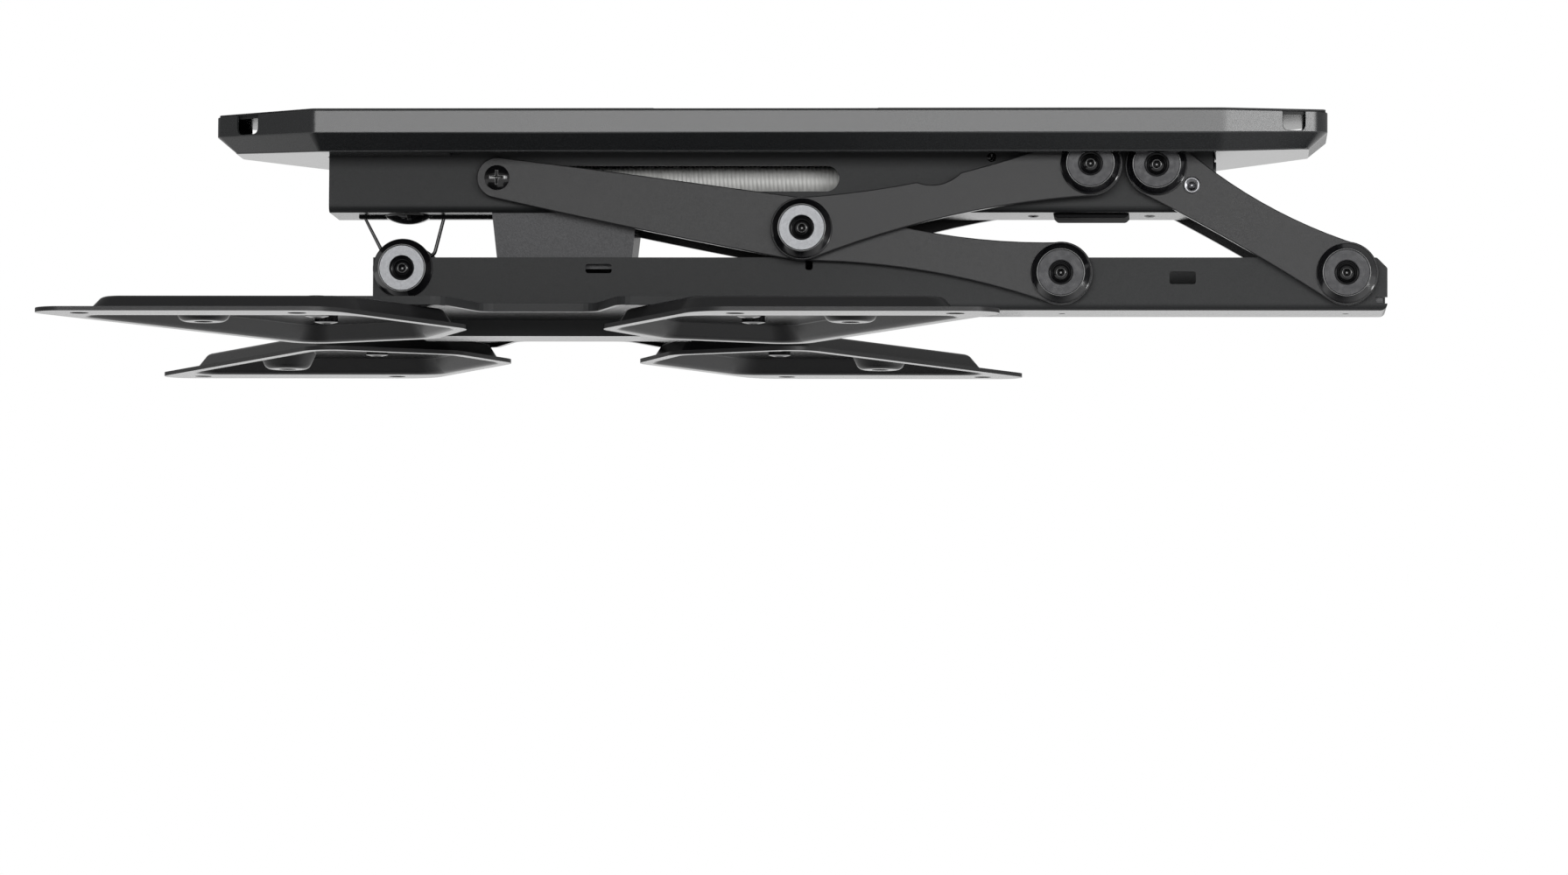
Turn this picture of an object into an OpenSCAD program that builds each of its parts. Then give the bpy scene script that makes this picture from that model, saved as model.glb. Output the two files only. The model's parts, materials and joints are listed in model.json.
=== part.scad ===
// Motorised flip-down ceiling mount for a television, shown folded up under the ceiling.
// Origin: middle of the ceiling plate's top face. X runs along the plate, Z up.
// Side "near" is -Y and side "far" is +Y. Every paired piece is mirrored in the XZ plane.

/* [Ceiling plate] */
// How far the cover reaches beyond each end of the drive box
plate_margin = 54.2; // [45:0.1:65]
// Flat strip under the cover on each side of its opening
cover_ledge = 5; // [3:0.5:10]
// Thickness of the steel ceiling plate
plate_t = 2.5; // [2:0.5:4]
// Length along X of each cut corner
corner_l = 50; // [40:1:55]
// Depth along Y of the cut corner, near left
near_left_corner_d = 32; // [12:1:44]
// Depth along Y of the cut corner, near right
near_right_corner_d = 10; // [8:1:44]
// Depth along Y of the two cut corners on the far side
far_corner_d = 46; // [12:1:48]
// Distance between the ceiling bolts along X, one joist spacing
joist_pitch = 406.4; // [380:0.1:420]
// Distance between the ceiling bolts along Y
ceiling_row_pitch = 72; // [66:1:80]
// Diameter of the ceiling bolt holes
ceiling_hole_d = 9; // [7:0.5:11]
// Length of the shallow recess in the plate's near and far edges
edge_recess_l = 107; // [60:1:150]

/* [Cover] */
// Wall thickness of the plastic cover
cover_wall = 2; // [1.5:0.1:3]
// Height of the cover's upright wall
cover_wall_h = 11; // [9:0.5:13]
// Height of the bevel under the wall
bevel_h = 8; // [5:0.5:10]
// How far the bevel runs inwards
bevel_in = 9; // [6:0.5:12]
// Plate edge that stays visible above the cover
plate_reveal = 1; // [0.5:0.1:1.5]
// Radius of the cover's corners seen from above
cover_corner_r = 7; // [3:0.5:12]
// Gap between the pivot covers and the edge of the cover's opening
cover_gap = 3.75; // [2:0.25:6]
// Width of the cable notches in the cut corners
cable_notch_w = 11; // [8:0.5:14]
// Depth of the cable notches below the cover's rim
cable_notch_h = 9.5; // [5:0.5:10]

/* [Drive box] */
// Drive box beyond the end-arm pivot
box_tail = 26.9; // [22:0.1:32]
// Width of the drive box
box_w = 45; // [44:0.5:48]
// Height of the drive box under the ceiling plate
box_h = 44.1; // [43:0.1:48]
// Sheet thickness of the box
box_wall = 2; // [1.5:0.1:2.4]
// Outer radius of the box's bent edges
box_edge_r = 3.5; // [2.6:0.1:5]
// Height of the carriage slot
slot_h = 12.5; // [11.5:0.1:14]

/* [Linkage] */
// Lift-arm pivot from the middle of the plate
lift_pivot_x = 154.1; // [150:0.1:160]
// Gap between the screw heads under the ceiling plate and the arm eyes
eye_clear = 3.8; // [2.5:0.1:6]
// Gap between the lift arm's eye and the end arm's eye
eye_gap = 1.1; // [0.8:0.1:3]
// Carriage pin above the underside of the drive box
slide_rise = 16.1; // [15.5:0.1:18]
// Gap between the drive box and the middle shaft
middle_gap = 3.9; // [3:0.1:8]
// Lift arm between its pivots
lift_arm_l = 141.1; // [138:0.1:144]
// Long arm from carriage pin to middle pivot
long_arm_upper_l = 149.3; // [146:0.1:152]
// Long arm from middle pivot to rail pivot
long_arm_lower_l = 125.4; // [122:0.1:128]
// Distance between the two rail pivots
rail_pivot_pitch = 136; // [132:0.5:140]
// Carriage pin from the lift-arm pivot when the mount is lowered
lowered_reach = 126.9; // [124:0.1:132]

/* [Arms] */
// Plate thickness of every arm
arm_t = 4; // [3:0.5:4.5]
// Radius of the large arm eyes
eye_r = 15.2; // [14.5:0.1:17]
// Radius of the long arm's eye at the slot
slide_eye_r = 9.8; // [8.5:0.1:9.9]
// Diameter of the pivot shafts
shaft_d = 10; // [8:0.5:12]
// How much smaller a round pivot cover is than the arm's eye
cover_inset = 0.8; // [0.5:0.1:1.5]
// Height of the round pivot covers
pivot_cover_h = 5.5; // [4.5:0.1:6]
// Radius of the flat ring on a pivot cover
ring_r = 11; // [9:0.1:12]
// Radius of the recess in a pivot cover
recess_r = 5.8; // [5:0.1:7]
// Gap between parts that turn side by side
side_gap = 1; // [0.6:0.1:1.2]
// Radial running clearance of every shaft in its hole
run_gap = 0.05; // [0.02:0.01:0.08]

/* [Lead screw drive] */
// Outer diameter of the lead screw
screw_d = 16; // [14:0.5:17]
// Gap between the motor and the floor of the drive box
motor_gap = 1.1; // [0.6:0.1:2]
// Length of the motor
motor_l = 52; // [40:1:54]
// Length of the gearbox
gearbox_l = 22; // [16:1:24]
// Diameter of the guide rods
guide_rod_d = 5; // [4:0.5:6]
// Length of the carriage block along X
carriage_l = 28; // [22:1:32]

/* [Control box] */
// Length of the control box at its top
control_l = 70; // [60:1:76]
// Gap between the control box and each side of the rail
control_gap = 2.5; // [1.5:0.5:5]
// Height of the control box below the drive box
control_h = 27; // [22:0.5:29]
// Slope of the control box's side walls, in millimetres over its height
control_taper = 3; // [1:0.5:5]
// Wall thickness of the control box
control_wall = 1.8; // [1.2:0.1:2.5]

/* [Rail] */
// Tilt pivot and lens from the left end of the drive box
tilt_inset = 36.1; // [30:0.1:45]
// Tilt pivot above the level of the rail pivots
tilt_pivot_rise = 2.5; // [1.5:0.1:3]
// Rail edge above the rail pivots
rail_rise = 8; // [7.5:0.1:9]
// Rail floor below the rail pivots
rail_drop = 17.2; // [16.5:0.1:18]
// Rail beyond the end arm's pivot
rail_tail = 19.5; // [17:0.5:22]
// Sheet thickness of the rail
rail_wall = 2; // [1.5:0.1:2.4]
// Outer radius of the rail's bent edges
rail_edge_r = 3.2; // [2.6:0.1:4.5]

/* [Television bracket] */
// Bracket centre from the tilt pivot
bracket_offset = 72.1; // [71:0.1:76]
// Gap between the rail and the spider plate
bracket_gap = 2.6; // [1.5:0.1:4]
// Large hole pattern, square
vesa_large = 400; // [396:1:404]
// Small hole pattern, square
vesa_small = 300; // [296:1:304]
// Short side of the third hole pattern
vesa_short = 200; // [196:1:204]
// Diameter of the television bolt holes
vesa_hole_d = 8.6; // [6.5:0.1:9]
// Sheet thickness of the pressed arms
press_t = 2; // [1.5:0.1:2.5]
// Height of the pressed pan above the television face
pan_h = 9.6; // [9:0.1:11]
// Width of the flange that carries the outer holes
wide_flange = 26; // [22:1:28]
// Width of the flange round the rest of an arm
narrow_flange = 5; // [4:0.5:7]
// Radius of the pressed-down bosses
boss_r = 13.5; // [11:0.5:15]
// Half length of the spider plate along X
spider_half_l = 117; // [112:1:120]
// Half depth of the spider plate across Y
spider_half_d = 132; // [130:1:136]
// Sheet thickness of the spider plate
spider_t = 2.2; // [1.6:0.1:2.6]
// Height of the spider's turned-down rim
spider_rim_h = 4; // [3.4:0.1:4.4]

/* [Hidden] */
$fn = 48;
// Overrun of every cut past the face that it opens
over = 1;
// Gap between pieces that only pass each other
pass_gap = 0.5;
// Least gap between curved faces of pieces that move past each other
curve_gap = 0.35;

// Colours as the photo shows them
col_steel = "#34363a";
col_cover = "#55575a";
col_plastic = "#26272a";
col_gloss = "#1c1d20";
col_zinc = "#b4b6b8";
col_screw = "#d2d2ce";
col_bronze = "#a9834a";
col_board = "#2e6b3f";
col_rubber = "#1e1e20";

// Levels of the plate, the cover and the box
rim_z = -plate_reveal;
bevel_z = rim_z - cover_wall_h;
cover_low_z = bevel_z - bevel_h;
plate_low_z = -plate_t;
box_low_z = plate_low_z - box_h;
box_floor_z = box_low_z + box_wall;

// Places of the pivots in the XZ plane, folded
shaft_r = shaft_d / 2;
small_head_h = 1.2;
slide_z = box_low_z + slide_rise;
upper_z = plate_low_z - box_wall - small_head_h - eye_clear - eye_r;
lift_p = [lift_pivot_x, upper_z];
end_p = [lift_pivot_x + 2 * eye_r + eye_gap, upper_z];
lift_rest_angle = asin((upper_z - box_low_z + middle_gap + shaft_r) / lift_arm_l);
middle_p = lift_p - lift_arm_l * [cos(lift_rest_angle), sin(lift_rest_angle)];
long_angle = asin((slide_z - middle_p[1]) / long_arm_upper_l);
slide_p = middle_p - long_arm_upper_l * [cos(long_angle), -sin(long_angle)];
rail_p = middle_p + long_arm_lower_l * [cos(long_angle), -sin(long_angle)];
rail_end_p = rail_p + [rail_pivot_pitch, 0];
end_arm_l = norm(rail_end_p - end_p);
end_angle = atan2(rail_end_p[1] - end_p[1], rail_end_p[0] - end_p[0]);
// The drive box is centred on the ceiling plate
box_l = 2 * (end_p[0] + box_tail);
tilt_p = [tilt_inset - box_l / 2, rail_p[1] + tilt_pivot_rise];

// Layers across Y, from the box face outwards
box_half = box_w / 2;
box_in = box_half - box_wall;
inner_arm_y = box_half + side_gap;
outer_arm_y = inner_arm_y + arm_t + side_gap;
inner_face_y = inner_arm_y + arm_t;
outer_face_y = outer_arm_y + arm_t;

// Levels of the rail and the bracket
pivot_cover_r = eye_r - cover_inset;
tilt_ear_r = pivot_cover_r;
rail_top_z = rail_p[1] + rail_rise;
rail_low_z = rail_p[1] - rail_drop;
rail_left_x = tilt_p[0] - tilt_ear_r;
rail_right_x = rail_end_p[0] + rail_tail;
spider_top_z = rail_low_z - bracket_gap;
pan_top_z = spider_top_z - spider_rim_h;
tv_z = pan_top_z - pan_h;
bracket_x = tilt_p[0] + bracket_offset;

// Shaft places
tilt_shaft_share = 0.3;
tilt_shaft_r = tilt_shaft_share * shaft_d;
hole_r = shaft_r + run_gap;

// Corner points on an arc of radius r that replaces the corner q of the path p-q-s
function unit(v) = v / norm(v);
function turn(a) = a > 180 ? a - 360 : a < -180 ? a + 360 : a;
function fillet(p, q, s, r, n) =
  let (u = unit(p - q), v = unit(s - q))
  let (half = acos(u * v) / 2, run = r / tan(half))
  let (c = q + unit(u + v) * r / sin(half))
  let (a = q + u * run - c, b = q + v * run - c)
  let (a0 = atan2(a[1], a[0]), da = turn(atan2(b[1], b[0]) - a0))
  [for (i = [0 : n]) c + r * [cos(a0 + da * i / n), sin(a0 + da * i / n)]];
// Closed outline with one radius per corner; a radius of 0 keeps the corner sharp
function round_path(pts, radii, n = 6) =
  let (m = len(pts))
  [for (i = [0 : m - 1])
    each radii[i] == 0 ? [pts[i]] : fillet(pts[(i + m - 1) % m], pts[i], pts[(i + 1) % m], radii[i], n)];
// Anticlockwise convex outline with edge i (from corner i to corner i + 1) moved inwards by gaps[i]
function cross_at(p, u, q, v) =
  let (w = q - p) p + u * (w[0] * v[1] - w[1] * v[0]) / (u[0] * v[1] - u[1] * v[0]);
function inset(pts, gaps) =
  let (m = len(pts), dirs = [for (i = [0 : m - 1]) unit(pts[(i + 1) % m] - pts[i])])
  let (foot = [for (i = [0 : m - 1]) pts[i] + gaps[i] * [-dirs[i][1], dirs[i][0]]])
  [for (i = [0 : m - 1])
    let (k = (i + m - 1) % m) cross_at(foot[k], dirs[k], foot[i], dirs[i])];
function even(n, v) = [for (i = [1 : n]) v];
// Points from p to q on a flat bow whose middle stands out by s to the left of the way
function bow(p, q, s, n = 12) =
  let (u = unit(q - p))
  [for (i = [0 : n]) p + (q - p) * i / n + 4 * s * (i / n) * (1 - i / n) * [-u[1], u[0]]];

// Turns a flat outline in XZ into a plate from y0, thick t towards +Y
module plate_xz(y0, t) translate([0, y0 + t, 0]) rotate([90, 0, 0]) linear_extrude(t) children();
// A cylinder along Y from y0, long l
module rod_y(p, r, y0, l) translate([p[0], y0 + l, p[1]]) rotate([90, 0, 0]) cylinder(r = r, h = l);
// A cylinder along X from x0, long l
module rod_x(x0, y, z, r, l) translate([x0, y, z]) rotate([0, 90, 0]) cylinder(r = r, h = l);
// Puts a copy on the near side and one on the far side
module both_sides() {
  children();
  mirror([0, 1, 0]) children();
}
// A block from a low corner to a high corner
module block(a, b) translate(a) cube(b - a);

// Ceiling plate and cover
tip_x = box_l / 2 + plate_margin;
cover_opening_w = 2 * (outer_face_y + pass_gap / 2 + pivot_cover_h + cover_gap);
edge_y = cover_opening_w / 2 + cover_ledge + bevel_in;
flat_x = tip_x - corner_l;
// Outline seen from above, anticlockwise from the near left end of the straight near edge
plan_pts = [[-flat_x, -edge_y], [flat_x, -edge_y], [tip_x, -edge_y + near_right_corner_d],
  [tip_x, edge_y - far_corner_d], [flat_x, edge_y], [-flat_x, edge_y],
  [-tip_x, edge_y - far_corner_d], [-tip_x, -edge_y + near_left_corner_d]];
// A short tip side takes a smaller radius
tip_r_share = 0.45;
plan_r_share = [1, 1, tip_r_share, tip_r_share, 1, 1, tip_r_share, tip_r_share];
function plan(gap) =
  let (r = max(cover_corner_r - gap, cover_wall))
  round_path(inset(plan_pts, even(8, gap)), [for (s = plan_r_share) r * s], 4);
module plan_slab(gap, z0, z1) translate([0, 0, z0]) linear_extrude(z1 - z0) polygon(plan(gap));
// The cover's body between two insets: an upright part and a bevelled part
module cover_body(gap, low_z) {
  plan_slab(gap, bevel_z, rim_z + over * sign(gap));
  hull() {
    plan_slab(gap, bevel_z - eps, bevel_z);
    plan_slab(gap + bevel_in, low_z, low_z + eps);
  }
}
// Thin slice used to start and end a blend
eps = 0.01;
edge_recess_d = 1.2;
plate_play = 0.25;
plate_inset = cover_wall + plate_play;
module ceiling_plate() color(col_steel) difference() {
  union() {
    plan_slab(plate_inset, plate_low_z, rim_z);
    plan_slab(cover_wall / 2, rim_z, 0);
  }
  both_sides() translate([-edge_recess_l / 2, -edge_y - over, rim_z])
    cube([edge_recess_l, edge_recess_d + cover_wall / 2 + over, plate_reveal + over]);
  for (x = [-1, 1], y = [-1, 1])
    translate([x * joist_pitch / 2, y * ceiling_row_pitch / 2, plate_low_z - over])
      cylinder(d = ceiling_hole_d, h = plate_t + 2 * over);
  for (p = [lift_p, end_p]) both_sides()
    translate([p[0], box_half + tab_w / 2, plate_low_z - over]) cylinder(d = box_screw_d, h = plate_t + 2 * over);
}
// Tabs along the top of the box, screwed to the ceiling plate
tab_w = 10;
tab_l = 24;
box_screw_d = 4;
opening_l = box_l + 2 * pass_gap;
notch_mid_share = 0.32;
notch_mid_x = tip_x - notch_mid_share * corner_l;
notch_foot_share = 0.3;
module cover_shell() color(col_cover) difference() {
  cover_body(0, cover_low_z);
  difference() {
    cover_body(cover_wall, cover_low_z + cover_wall);
    translate([0, 0, cover_low_z]) linear_extrude(cover_wall) square([4 * tip_x, 4 * edge_y], center = true);
  }
  cover_opening(-opening_l / 2, box_half + pass_gap);
  cover_opening(slide_p[0] - opening_reach, cover_opening_w / 2);
  for (s = [-1, 1]) translate([s * notch_mid_x, 0, rim_z - cable_notch_h]) cable_notches();
}
// The opening is as wide as the box, and wider from the folded long arms to its right end
opening_reach = 22;
module cover_opening(x0, half)
  block([x0, -half, cover_low_z - over], [opening_l / 2, half, cover_low_z + cover_wall + over]);
// Notches open at the top, with a round foot, in the near and the far wall
module cable_notches() {
  foot = cable_notch_w * notch_foot_share;
  plate_xz(-edge_y - over, edge_y + over) union() {
    translate([-cable_notch_w / 2, foot]) square([cable_notch_w, cable_notch_h]);
    translate([-cable_notch_w / 2 + foot, 0]) square([cable_notch_w - 2 * foot, foot + over]);
    for (s = [-1, 1]) translate([s * (cable_notch_w / 2 - foot), foot]) circle(foot);
  }
}

// Drive box
slot_r = slot_h / 2;
slot_end_x = lift_p[0] - lowered_reach;
// Channel profile across Y, open at the top, with round lower edges
function channel(half, wall, top, low, r) = concat(
  round_path([[-half, top], [-half, low], [half, low], [half, top]], [0, r, r, 0]),
  round_path([[half - wall, top], [half - wall, low + wall], [-half + wall, low + wall], [-half + wall, top]],
    [0, r - wall, r - wall, 0]));
module run_x(x0, l) translate([x0, 0, 0]) rotate([90, 0, 90]) linear_extrude(l) children();
module stadium(x0, x1, z, r) {
  translate([x0, z - r]) square([x1 - x0, 2 * r]);
  translate([x0, z]) circle(r);
  translate([x1, z]) circle(r);
}
// Screw through the box sides that holds the motor saddle, from the lift-arm pivot
saddle_reach = 47.5;
saddle_rise = 4.3;
saddle_screw_p = [lift_p[0] - saddle_reach, upper_z + saddle_rise];
floor_hole_d = 3.2;
floor_hole_pitch = 56;
module drive_box() color(col_steel) difference() {
  union() {
    run_x(-box_l / 2, box_l) polygon(channel(box_half, box_wall, plate_low_z, box_low_z, box_edge_r));
    for (p = [lift_p, end_p]) both_sides()
      translate([p[0] - tab_l / 2, box_in, plate_low_z - box_wall]) cube([tab_l, tab_w + box_wall, box_wall]);
  }
  plate_xz(-box_half - over, box_w + 2 * over) stadium(slide_p[0] - pass_gap, slot_end_x, slide_z, slot_r);
  for (p = [lift_p, end_p]) {
    rod_y(p, shaft_r, -box_half - over, box_w + 2 * over);
    both_sides() translate([p[0], box_half + tab_w / 2, plate_low_z - box_wall - over])
      cylinder(d = box_screw_d, h = box_wall + 2 * over);
  }
  rod_y(saddle_screw_p, box_screw_d / 2, -box_half - over, box_w + 2 * over);
  for (i = [-1, 1]) translate([lift_p[0] + i * floor_hole_pitch / 2, 0, box_low_z - over])
    cylinder(d = floor_hole_d, h = box_wall + 2 * over);
}
// End plates sit inside the channel, flush with its ends
module box_end(x0) color(col_steel) intersection() {
  block([x0, -box_in, box_floor_z], [x0 + box_wall, box_in, plate_low_z]);
  run_x(x0 - over, box_wall + 2 * over)
    polygon(round_path([[-box_in, plate_low_z], [-box_in, box_floor_z], [box_in, box_floor_z], [box_in, plate_low_z]],
      [0, box_edge_r - box_wall, box_edge_r - box_wall, 0]));
}
module box_end_left() box_end(-box_l / 2);
inlet_r = 5.5;
inlet_flange_t = 1.5;
// The inlet's flange passes below the cover
inlet_z = cover_low_z - pass_gap - inlet_r - inlet_flange_t;
module box_end_right() difference() {
  box_end(box_l / 2 - box_wall);
  rod_x(box_l / 2 - box_wall - over, 0, inlet_z, inlet_r, box_wall + 2 * over);
}

// Lead screw drive inside the box
support_t = 8;
bearing_r = 11;
motor_r = slide_z - box_floor_z - motor_gap;
bearing_t = 6;
journal_share = 0.3;
journal_r = screw_d * journal_share;
// Free way between the carriage and each support at the end of the stroke
support_gap = 3;
screw_x0 = slide_p[0] - carriage_l / 2 - support_gap;
screw_x1 = slot_end_x + carriage_l / 2 + support_gap;
switch_h = 6;
switch_l = 13;
switch_w = 6.5;
guide_share = 0.66;
guide_y = box_in * guide_share;
guide_z = plate_low_z - switch_h - guide_rod_d;
coupling_l = 9;
gearbox_x = screw_x1 + support_t + coupling_l;
motor_x = gearbox_x + gearbox_l;
support_half = box_in - box_edge_r;
module screw_support(x0) difference() {
  block([x0, -support_half, box_floor_z], [x0 + support_t, support_half, plate_low_z - switch_h]);
  rod_x(x0 - over, 0, slide_z, bearing_r, support_t + 2 * over);
  for (s = [-1, 1]) rod_x(x0 - over, s * guide_y, guide_z, guide_rod_d / 2, support_t + 2 * over);
}
module screw_supports() color(col_zinc) {
  screw_support(screw_x0 - support_t);
  screw_support(screw_x1);
}
module bearing(x0) rod_x_ring(x0, slide_z, bearing_r, journal_r + run_gap, bearing_t);
module rod_x_ring(x0, z, r, bore, l) difference() {
  rod_x(x0, 0, z, r, l);
  rod_x(x0 - over, 0, z, bore, l + 2 * over);
}
module screw_bearings() color(col_screw) {
  bearing(screw_x0 - (support_t + bearing_t) / 2);
  bearing(screw_x1 + (support_t - bearing_t) / 2);
}
module guide_rods() color(col_screw) for (s = [-1, 1])
  rod_x(screw_x0 - support_t, s * guide_y, guide_z, guide_rod_d / 2, screw_x1 - screw_x0 + 2 * support_t);
module limit_switches() color(col_gloss) for (x = [screw_x0 - support_t, screw_x1 + support_t - switch_l])
  block([x, -switch_w / 2, plate_low_z - switch_h], [x + switch_l, switch_w / 2, plate_low_z]);
module motor_gearbox() color(col_zinc) rod_x(gearbox_x, 0, slide_z, motor_r, gearbox_l);
module drive_motor() color(col_gloss) {
  rod_x(motor_x, 0, slide_z, motor_r - cap_step, motor_l);
  rod_x(motor_x + motor_l, 0, slide_z, motor_r / 2, motor_boss_l);
}
cap_step = 0.8;
motor_boss_l = 2.4;
// Saddle: a block that clamps the motor between the box walls
saddle_l = 14;
module motor_saddle() color(col_zinc) difference() {
  block([saddle_screw_p[0] - saddle_l / 2, -box_in, slide_z], [saddle_screw_p[0] + saddle_l / 2, box_in, plate_low_z]);
  rod_x(saddle_screw_p[0] - saddle_l, 0, slide_z, motor_r - cap_step, 2 * saddle_l);
}
module lead_screw() color(col_screw) {
  rod_x(screw_x0, 0, slide_z, screw_d / 2, screw_x1 - screw_x0);
  rod_x(screw_x0 - support_t, 0, slide_z, journal_r, screw_x1 - screw_x0 + 2 * support_t);
}
module screw_coupling() color(col_zinc)
  rod_x(screw_x1 + support_t, 0, slide_z, screw_d / 2, coupling_l - side_gap);

// Carriage
carriage_half = box_in - 2 * side_gap;
carriage_top_z = plate_low_z - switch_h - side_gap;
carriage_low_z = box_floor_z + side_gap;
nut_wall = 2.5;
nut_r = screw_d / 2 + nut_wall;
module carriage_block() color(col_zinc) difference() {
  block([slide_p[0] - carriage_l / 2, -carriage_half, carriage_low_z],
    [slide_p[0] + carriage_l / 2, carriage_half, carriage_top_z]);
  rod_x(slide_p[0] - carriage_l, 0, slide_z, nut_r, 2 * carriage_l);
  for (s = [-1, 1]) rod_x(slide_p[0] - carriage_l, s * guide_y, guide_z, guide_rod_d / 2 + run_gap, 2 * carriage_l);
}
module carriage_nut() color(col_bronze)
  rod_x_ring(slide_p[0] - carriage_l / 2, slide_z, nut_r, screw_d / 2 + run_gap, carriage_l);
roller_t = 1.4;
pin_r = slot_r - curve_gap - roller_t;
module carriage_pins() color(col_screw) both_sides() {
  rod_y(slide_p, pin_r, carriage_half, inner_arm_y - curve_gap - carriage_half);
  rod_y(slide_p, pin_r + roller_t, box_in, box_wall);
}

// Control box, lens, cable guide, inlet and cap
lens_x = tilt_p[0];
control_reach = 42.4;
control_x = lens_x + control_reach;
control_w = 2 * (box_in - control_gap);
module control_body(gap) {
  top_z = box_low_z + (gap > 0 ? over : 0);
  low_z = box_low_z - control_h + gap;
  hull() {
    block([control_x + gap, -control_w / 2 + gap, top_z - eps], [control_x + control_l - gap, control_w / 2 - gap, top_z]);
    block([control_x + control_taper + gap, -control_w / 2 + control_taper / 2 + gap, low_z],
      [control_x + control_l - control_taper - gap, control_w / 2 - control_taper / 2 - gap, low_z + eps]);
  }
}
module control_box() color(col_plastic) difference() {
  control_body(0);
  control_body(control_wall);
}
board_t = 1.6;
capacitor_r = 4.5;
capacitor_h = 6.8;
module control_board() color(col_board) {
  gap = control_wall + control_taper + side_gap;
  block([control_x + gap, -control_w / 2 + gap, box_low_z - control_h / 2],
    [control_x + control_l - gap, control_w / 2 - gap, box_low_z - control_h / 2 + board_t]);
  for (s = [-1, 1]) translate([control_x + control_l / 2 + s * control_l / 4, 0, box_low_z - control_h / 2 + board_t])
    cylinder(r = capacitor_r, h = capacitor_h);
  block([control_x + control_l / 2 - switch_w, -switch_w, box_low_z - control_h / 2 + board_t],
    [control_x + control_l / 2 + switch_w, switch_w, box_low_z - control_h / 4]);
}
lens_r = 12.5;
lens_h = 4;
// Shallow dome under the box, a ball cap of height lens_h
lens_ball_r = (lens_r * lens_r + lens_h * lens_h) / (2 * lens_h);
module ir_lens() color(col_gloss) intersection() {
  translate([lens_x, 0, box_low_z - lens_h + lens_ball_r]) sphere(lens_ball_r);
  translate([lens_x, 0, box_low_z - lens_h]) cylinder(r = lens_r, h = lens_h);
}
wire_r = 0.9;
// Reach of the wire bail from the lens, to the left and to the right
guide_top_reach = [-21.6, 17.4];
guide_low_reach = [-11.5, 12.5];
guide_clear = 8;
guide_top_x = [for (r = guide_top_reach) lens_x + r];
guide_low_x = [for (r = guide_low_reach) lens_x + r];
guide_low_z = tilt_p[1] + guide_clear;
// The wire is a little thicker where it is bent
knee_r = 1.05;
module rod_between(a, b, r) {
  d = b - a;
  translate(a) rotate([0, acos(d[2] / norm(d)), atan2(d[1], d[0])]) cylinder(r = r, h = norm(d));
}
module cable_guide() color(col_steel) {
  for (i = [0, 1]) {
    top = [guide_top_x[i], 0, box_low_z - guide_foot_t / 2];
    low = [guide_low_x[i], 0, guide_low_z];
    rod_between(top, low, wire_r);
    translate(low) sphere(knee_r);
    translate([guide_top_x[i], 0, box_low_z - guide_foot_t]) cylinder(r = guide_foot_r, h = guide_foot_t);
  }
  rod_between([guide_low_x[0], 0, guide_low_z], [guide_low_x[1], 0, guide_low_z], wire_r);
}
guide_foot_r = 2.4;
guide_foot_t = 1.2;
inlet_l = 14;
inlet_bore_r = 2.9;
module power_inlet() color(col_gloss) difference() {
  union() {
    rod_x(box_l / 2 - inlet_l, 0, inlet_z, inlet_r, inlet_l);
    rod_x(box_l / 2, 0, inlet_z, inlet_r + inlet_flange_t, inlet_flange_t);
  }
  rod_x(box_l / 2 - inlet_l + box_wall, 0, inlet_z, inlet_bore_r, inlet_l + inlet_flange_t);
}
cap_l = 37;
cap_w = 28;
cap_h = 2;
module underside_cap() color(col_rubber) plate_xz(-cap_w / 2, cap_w)
  polygon([[lift_p[0] - cap_l / 2, box_low_z], [lift_p[0] - cap_l / 2 + cap_h, box_low_z - cap_h],
    [lift_p[0] + cap_l / 2 - cap_h, box_low_z - cap_h], [lift_p[0] + cap_l / 2, box_low_z]]);

// Pivot hardware
// Shaft ends stop inside the cover's recess
shaft_end_share = 0.45;
shaft_end = pivot_cover_h * shaft_end_share;
module lift_pivot_shaft() color(col_screw) both_sides()
  rod_y(lift_p, shaft_r, 0, outer_face_y + pass_gap / 2);
module end_pivot_shaft() color(col_screw) both_sides()
  rod_y(end_p, shaft_r, 0, inner_face_y + pass_gap / 2);
module ring_y(p, r, bore, y0, l) difference() {
  rod_y(p, r, y0, l);
  rod_y(p, bore, y0 - over, l + 2 * over);
}
module fixed_spacers() color(col_zinc) both_sides() {
  ring_y(lift_p, spacer_r, shaft_r, box_half, outer_arm_y - box_half - pass_gap / 2);
  ring_y(end_p, spacer_r, shaft_r, box_half, side_gap - pass_gap / 2);
}
spacer_r = 9;
cover_foot_h = 1;
cone_foot_h = 1.4;
// Round cover: flange, cone, flat ring and a deep recess, turned about the pivot
module pivot_cover(p, y0, ring_drop = 0) translate([p[0], y0, p[1]]) rotate([-90, 0, 0]) rotate_extrude()
  polygon([[0, 0], [pivot_cover_r, 0], [pivot_cover_r, cover_foot_h], [pivot_cover_r - cover_foot_h / 2, cone_foot_h],
    [ring_r + cover_foot_h / 2, pivot_cover_h], [ring_r, pivot_cover_h], [ring_r, pivot_cover_h - ring_drop],
    [recess_r, pivot_cover_h - ring_drop], [recess_r, pivot_cover_h - shaft_end - ring_drop],
    [0, pivot_cover_h - shaft_end - ring_drop]]);
module pivot_covers(p, y0, ring_drop = 0) color(col_gloss) both_sides() pivot_cover(p, y0 + pass_gap / 2, ring_drop);
washer_t = 1.2;
module bright_washers(p, y0) color(col_zinc) both_sides()
  ring_y(p, ring_r, recess_r, y0 + pass_gap / 2 + pivot_cover_h - washer_t, washer_t);
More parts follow.
